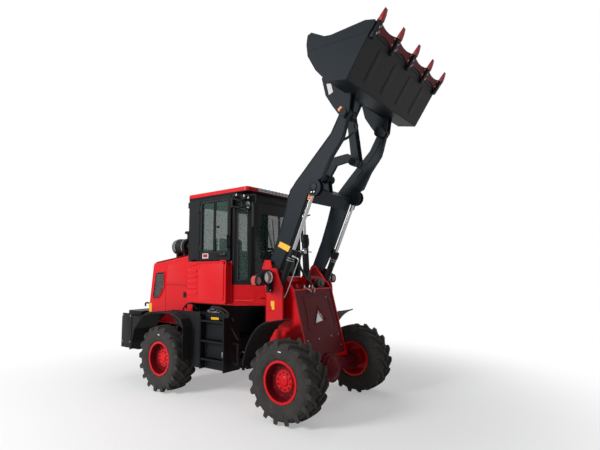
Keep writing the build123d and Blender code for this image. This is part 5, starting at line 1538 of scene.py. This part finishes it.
def makeHeadlamps():
    (ly, lz, lr), (iy, iz, ir) = headlamp["lamp"], headlamp["indicator"]
    x0, x1 = headlamp["x"]
    housing = Shape()
    lens = Shape()
    ends = Shape()
    for sign in sides.values():
        tilt = math.atan2(iz - lz, iy - ly)
        gap = math.hypot(iy - ly, iz - lz)
        lean = math.asin((lr - ir) / gap)
        outline = []
        for k in range(13):
            a = tilt + math.pi / 2 - lean + (math.pi + 2 * lean) * k / 12
            outline.append((sign * (ly + lr * math.cos(a)), lz + lr * math.sin(a)))
        for k in range(13):
            a = tilt - math.pi / 2 + lean + (math.pi - 2 * lean) * k / 12
            outline.append((sign * (iy + ir * math.cos(a)), iz + ir * math.sin(a)))
        housing.prism(outline, "x", x0, x1 - 0.004, bevel=0.014, steps=3)
        for y, z, radius in ((ly, lz, lr), (iy, iz, ir)):
            housing.lathe((x1 - 0.006, sign * y, z), "x", [(radius - 0.014, 0.0), (radius - 0.004, 0.0),
                                                         (radius - 0.004, 0.012), (radius - 0.014, 0.014)],
                          sides=36, loop=True)
        housing.prism(rounded(rectangle(sign * 0.592, sign * 0.650, 1.45, 1.60),
                              0.008), "x", 1.785, 1.828, bevel=0.003)
        housing.box((1.75, sign * 0.585, 1.46), (1.85, sign * 0.60, 1.60),
                    bevel=0.003)
        bowl = [(0.0, 0.0), (lr * 0.30, 0.002), (lr * 0.62, 0.012), (lr * 0.80, 0.020), (lr * 0.80, 0.004),
                (0.0, -0.01)]
        lens.lathe((x1 - 0.014, sign * ly, lz), "x", bowl, sides=36, finish=0)
        lens.lathe((x1 - 0.006, sign * ly, lz), "x", [(0.0, 0.012), (lr * 0.40, 0.0105), (lr * 0.82, 0.004),
                                                      (lr * 0.82, 0.0), (0.0, 0.0)], sides=36, finish=1)
        for turn in (60, 180, 300):
            a = math.radians(turn)
            lens.prism([(sign * ly + 0.012 * math.cos(a), lz + 0.012 * math.sin(a)),
                        (sign * ly + 0.055 * math.cos(a + 0.10), lz + 0.055 * math.sin(a + 0.10)),
                        (sign * ly + 0.055 * math.cos(a - 0.10), lz + 0.055 * math.sin(a - 0.10))], "x", x1 + 0.002,
                       x1 + 0.004, finish=0)
        ends.lathe((x1 - 0.008, sign * iy, iz), "x", [(0.0, 0.016), (ir * 0.45, 0.014), (ir * 0.78, 0.006),
                                                      (ir * 0.78, 0.0), (0.0, 0.0)], sides=32, finish=0)
        ends.prism([(sign * (iy + (ir + grow) * math.cos(math.radians(a))),
                     iz + (ir + grow) * math.sin(math.radians(a)))
                    for grow, turns in ((0.002, range(-60, 61, 12)), (-0.004, range(60, -61, -12))) for a in turns],
                   "x", 1.775, 1.835, finish=1)
    piece = housing.piece("headlampHousing", "front_frame", matteBlack)
    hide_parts("headlamps")
    lens.piece("headlampLens", "front_frame", [lensSilver, lensSilver])
    ends.piece("indicatorLens", "front_frame", [redLens, sideLens])
    makeBolts("headlampBolts", "front_frame", whitePaint,
              [((1.829, sign * 0.622, 1.475), (1, 0, 0)) for sign in sides.values()], 0.012)


fenderArch = [(1.705, 0.593), (1.722, 0.680), (1.758, 0.785), (1.802, 0.880), (1.860, 0.966), (1.910, 1.025),
              (1.963, 1.068), (2.030, 1.108), (2.105, 1.136)]


def makeFenderShell():
    shell = Shape()
    for sign in sides.values():
        for (x0, z0), (x1, z1) in zip(fenderArch, fenderArch[1:]):
            ahead = (Vector((x1, z1)) - Vector((x0, z0))).normalized() * 0.012
            shell.prism([(x0 - ahead.x * 0.1, z0 - ahead.y * 0.1), (x1 + ahead.x * 0.1, z1 + ahead.y * 0.1),
                         (x1 + ahead.y, z1 - ahead.x), (x0 + ahead.y, z0 - ahead.x)], "y", sign * 0.590,
                        sign * 0.984)
        shell.box((1.895, sign * 0.56, 0.995), (1.915, sign * 0.66, 1.020), bevel=0.002)
        shell.box((1.725, sign * 0.56, 0.700), (1.765, sign * 0.66, 0.718), bevel=0.002)
    piece = shell.piece("frontFenderShell", "front_frame", matteBlack)
    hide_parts("front_fenders")


def makeFrontFender(hand, sign):
    arch = fenderArch
    lip = Shape()
    lip.tube([(x, sign * 0.983, z - 0.002) for x, z in arch], 0.009, sides=10, rounds=4)
    lip.tube([(x, sign * 0.615, z + 0.001) for x, z in arch], 0.005, sides=8, rounds=4)
    lip.piece(f"frontFenderLip.{hand}", "front_frame", matteBlack)
    makeBolts(f"frontFenderBolts.{hand}", "front_frame", steel,
              [((1.846, sign * y, 0.950), (-0.8, 0, 0.55)) for y in (0.64, 0.70)]
              + [((1.985, sign * y, 1.084), (-0.5, 0, 0.86)) for y in (0.64, 0.70)], 0.012)


# boom
boom = {
    "face": 0.535, "eye": (2.460, 2.750),
    "yellow": [(1.925, 2.102), (2.094, 2.031), (2.053, 1.962), (1.887, 2.041)],
    "orange": [(2.397, 2.698), (2.458, 2.672), (2.412, 2.583), (2.366, 2.607)],
}


def makeBoom():
    for hand, sign in sides.items():
        face = sign * boom["face"]
        plates = Shape()
        plates.prism(boom["yellow"], "y", face, face + sign * 0.002, finish=0)
        plates.prism(boom["orange"], "y", face, face + sign * 0.002, finish=1)
        # three blank bars on the orange plate
        a, b, c, d = (Vector(corner) for corner in ((2.404, 2.690), (2.368, 2.615), (2.448, 2.670), (2.410, 2.595)))
        for k in range(3):
            low, high = k * 0.34 + 0.06, k * 0.34 + 0.24
            bar = [tuple(a.lerp(b, down).lerp(c.lerp(d, down), across))
                   for down, across in ((low, 0.2), (low, 0.8), (high, 0.8), (high, 0.2))]
            plates.prism(bar, "y", face + sign * 0.002, face + sign * 0.0028, finish=2)
        plates.piece(f"boomPlates.{hand}", "boom", [yellowPlate, orangePlate, brownCast])
        weld = Shape()
        for line in ([(1.705, 1.745), (1.894, 2.150), (2.003, 2.446), (2.100, 2.755), (2.417, 3.076),
                      (2.729, 3.380),
                      (2.850, 3.585)], [(2.950, 3.535), (2.874, 3.293), (2.708, 3.087), (2.580, 2.865)]):
            weld.tube([(x, face, z) for x, z in line], 0.0045, sides=8, rounds=3)
        weld.piece(f"boomWeld.{hand}", "boom", slatePaint)
        pins = Shape()
        x, z = boom["eye"]
        outer = sign * 0.547
        pins.lathe((x, outer, z), "y", [(0.0, 0.0), (0.062, 0.0), (0.062, sign * 0.005), (0.042, sign * 0.012),
                                        (0.0, sign * 0.012)], sides=32)
        pins.prism(rounded(rectangle(x - 0.03, x + 0.03, z - 0.085, z - 0.035),
                           0.008), "y", outer, outer + sign * 0.008, bevel=0.001)
        pins.piece(f"liftEyeCap.{hand}", "boom", blackPaint)
        makeBolts(f"liftEyeBolts.{hand}", "boom", steel,
                  [((x - 0.018, outer + sign * 0.008, z - 0.06), (0, sign, 0)),
                   ((x + 0.018, outer + sign * 0.008, z - 0.06), (0, sign, 0))], 0.010)
        grease = Shape()
        grease.tube([(2.50, sign * 0.470, 3.02), (2.62, sign * 0.470, 3.16), (2.80, sign * 0.470, 3.36),
                     (2.88, sign * 0.47, 3.50)], 0.008, sides=8)
        grease.piece(f"greaseLine.{hand}", "boom", hoseRubber)
    hose = Shape()
    hose.tube([(2.80, -0.44, 3.30), (2.870, -0.40, 3.331), (2.955, -0.40, 3.376), (3.011, -0.40, 3.439),
               (2.985, -0.40, 3.507), (2.93, -0.42, 3.55)], 0.017, sides=12)
    hose.piece("couplerHose", "boom", hoseRubber)


# cylinders
cylinders = {
    "lift": {"base": (1.790, 1.250), "eye": (2.460, 2.750), "barrel": 0.809, "radius": 0.045, "rod": 0.025},
    "tilt": {"base": (1.955, 1.620), "eye": (1.890, 2.820), "barrel": 0.600, "radius": 0.045, "rod": 0.025},
}


def makeCylinder(name, barrelBody, y, kind):
    size = cylinders[kind]
    base = Vector((size["base"][0], y, size["base"][1]))
    ahead = (Vector((size["eye"][0], y, size["eye"][1])) - base).normalized()
    move = placed(base, ahead.cross(Vector((0, 1, 0))), (0, 1, 0))
    if (move.to_3x3() @ Vector((0, 0, 1))).dot(ahead) < 0:
        move = placed(base, -ahead.cross(Vector((0, 1, 0))), (0, 1, 0))
    radius, length = size["radius"], size["barrel"]
    gland = Shape()
    gland.lathe((0, 0, 0), "z", [(radius, length - 0.10), (radius + 0.010, length - 0.095),
                                 (radius + 0.010, length - 0.012), (radius + 0.004, length + 0.002),
                                 (size["rod"] + 0.002, length + 0.004), (size["rod"] + 0.002, length - 0.02)],
                sides=36, move=move)
    gland.lathe((0, 0, 0), "z", [(radius, 0.085), (radius + 0.006, 0.09), (radius + 0.006, 0.11), (radius, 0.115)],
                sides=36, move=move)
    gland.piece(f"gland.{name}", barrelBody, blackPaint)
    ring = Shape()
    for depth in ((length - 0.115, length - 0.145) if kind == "lift" else (length * 0.66,)):
        ring.lathe((0, 0, 0), "z", rectangle(radius + 0.001, radius + 0.006, depth, depth + 0.008), sides=36,
                   loop=True, move=move)
    ring.piece(f"clampRing.{name}", barrelBody, steel)


def makeLines():
    line = Shape()
    line.tube([(2.150, -0.555, 1.905), (2.235, -0.560, 1.865), (2.215, -0.560, 1.80), (2.05, -0.560, 1.45),
               (1.93, -0.553, 1.27)], 0.006, sides=10)
    line.lathe((2.150, -0.545, 1.905), "y", rectangle(0.0, 0.014, 0.0, -0.016), sides=12)
    line.piece("liftPipe.right", "lift_barrel_right", chrome)
    hose = Shape()
    hose.tube([(1.965, -0.10, 1.99), (1.966, -0.168, 1.90), (1.962, -0.168, 1.801), (1.985, -0.079, 1.651),
               (2.022, 0.030, 1.530)], 0.016, sides=12)
    hose.piece("tiltHose", "front_frame", hoseRubber)
    block = Shape()
    block.box((1.93, -0.115, 1.955), (1.995, -0.048, 2.005), bevel=0.004)
    block.tube([(1.962, -0.10, 1.98), (1.972, -0.14, 1.99), (1.975, -0.20, 1.985)], 0.009, sides=10)
    block.tube([(1.962, -0.048, 1.97), (1.965, 0.06, 1.985), (1.965, 0.10, 1.98)], 0.008, sides=10)
    block.piece("tiltFitting", "tilt_barrel", steel)
    pipe = Shape()
    pipe.tube([(1.985, -0.04, 2.00), (2.012, -0.03, 2.08), (2.005, -0.02, 2.17)], 0.008, sides=10)
    pipe.piece("tiltPipe", "tilt_barrel", blackPaint)


makeFrontPlate()
makeTowers()
# the front axle's castings and bolts are painted the deep shade red
makeAxle("front", "front_frame", 2.27, paintedShadeRed)
makeAxle("rear", "rear_frame", 0.0, redPaint)
makeHeadlamps()
makeFenderShell()
for hand, sign in sides.items():
    makeFrontFender(hand, sign)
    makeCylinder(f"lift.{hand}", f"lift_barrel_{hand}", sign * 0.505, "lift")
makeCylinder("tilt", "tilt_barrel", 0.0, "tilt")
makeLines()
makeBoom()
print("front frame, lamps, boom and cylinders")

# bucket's cutting edge stands in for the plain one
edge = {"origin": (3.560, 4.310), "ahead": (0.5583, 0.8297), "half": 0.965, "span": 0.916, "teeth": 5,
        "tooth": 0.060,
        "floor": 0.633}


def onFloor(along, above):
    # x and z of a point beyond the floor's front edge and above its underside
    (x, z), (a, b) = edge["origin"], edge["ahead"]
    return x + a * along - b * above, z + b * along + a * above


def makeBucketEdge():
    (x, z), (a, b) = edge["origin"], edge["ahead"]
    plane = placed((x, 0, z), (0, 1, 0), (a, 0, b))
    half, thick = edge["half"], edge["tooth"]
    blade = Shape()
    blade.prism([onFloor(u, v) for u, v in ((-0.100, -0.0005), (-0.100, -0.010), (0.002, -0.010),
                                            (0.012, -0.0005))],
                "y", -half, half, finish=1)
    places = []
    rows = [edge["span"] * (2 * k / (edge["teeth"] - 1) - 1) for k in range(edge["teeth"])]
    for left, right in zip(rows, rows[1:]):
        start, end = left + thick / 2 + 0.003, right - thick / 2 - 0.003
        spots = [k / 12 for k in range(13)]
        outline = [(start + (end - start) * s, 0.034 - 0.030 * math.sin(math.pi * s)) for s in spots]
        outline += [(start + (end - start) * s, -0.112 + 0.052 * math.sin(math.pi * s) ** 0.7) for s in spots[::-1]]
        blade.prism(outline, "z", 0.010, 0.022, move=plane, bevel=0.002)
        for y in (start + 0.030, end - 0.030):
            for u in (0.004, -0.062):
                places.append((y, u, -0.022))
    for y in rows:
        shank = [(-0.165, -0.004), (-0.150, -0.042), (0.040, -0.056), (0.046, -0.030), (0.040, -0.004)]
        blade.prism([onFloor(u, v) for u, v in shank], "y", y - thick / 2, y + thick / 2, finish=1, bevel=0.004)
        tip = [(0.030, -0.008), (0.030, -0.060), (0.100, -0.050), (0.166, -0.029), (0.100, -0.018)]
        blade.prism([onFloor(u, v) for u, v in tip], "y", y - thick * 0.54, y + thick * 0.54, finish=2, bevel=0.006)
        places += [(y, u, -0.052) for u in (-0.030, -0.095)]
    piece = blade.piece("bucketEdge", "bucket", [edgePaint, blackPaint, darkRedPaint])
    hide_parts("bucket_teeth")
    makeBolts("bucketEdgeBolts", "bucket", steel,
              [((onFloor(u, v)[0], y, onFloor(u, v)[1]), (b, 0, -a)) for y, u, v in places], 0.013)
    # painted shade: a dark sheet under the whole bucket floor; the four strips on it are wear strips
    floorShadeAndWear = Shape()
    floorShadeAndWear.prism([onFloor(u, v) for u, v in ((-0.104, -0.001), (-0.104, -0.005), (-edge["floor"], -0.005),
                                           (-edge["floor"], -0.001))], "y", -half + 0.006, half - 0.006)
    for y in (-0.62, -0.21, 0.21, 0.62):
        floorShadeAndWear.prism([onFloor(u, v) for u, v in ((-0.18, -0.005), (-0.18, -0.009), (-edge["floor"] + 0.08, -0.009),
                                               (-edge["floor"] + 0.08, -0.005))], "y", y - 0.045, y + 0.045,
                   bevel=0.001)
    floorShadeAndWear.piece("bucketWear", "bucket", matteBlack)
    sticker = Shape()
    sticker.prism([(2.888, 3.680), (2.952, 3.603), (2.902, 3.561), (2.840, 3.647)], "y", -0.5635, -0.565, finish=0)
    sticker.prism([(2.688, 4.009), (2.754, 3.997), (2.781, 3.882), (2.723, 3.859)], "y", -0.5635, -0.565, finish=1)
    sticker.piece("couplerPlates", "bucket", [orangePlate, palePlate])
    crease = Shape()
    for sign in (-1, 1):
        crease.tube([(3.472, sign * half, 4.224), (2.696, sign * half, 4.261)], 0.003, sides=8)
    crease.piece("bucketCrease", "bucket", blackPaint)


makeBucketEdge()
print("bucket's edge")
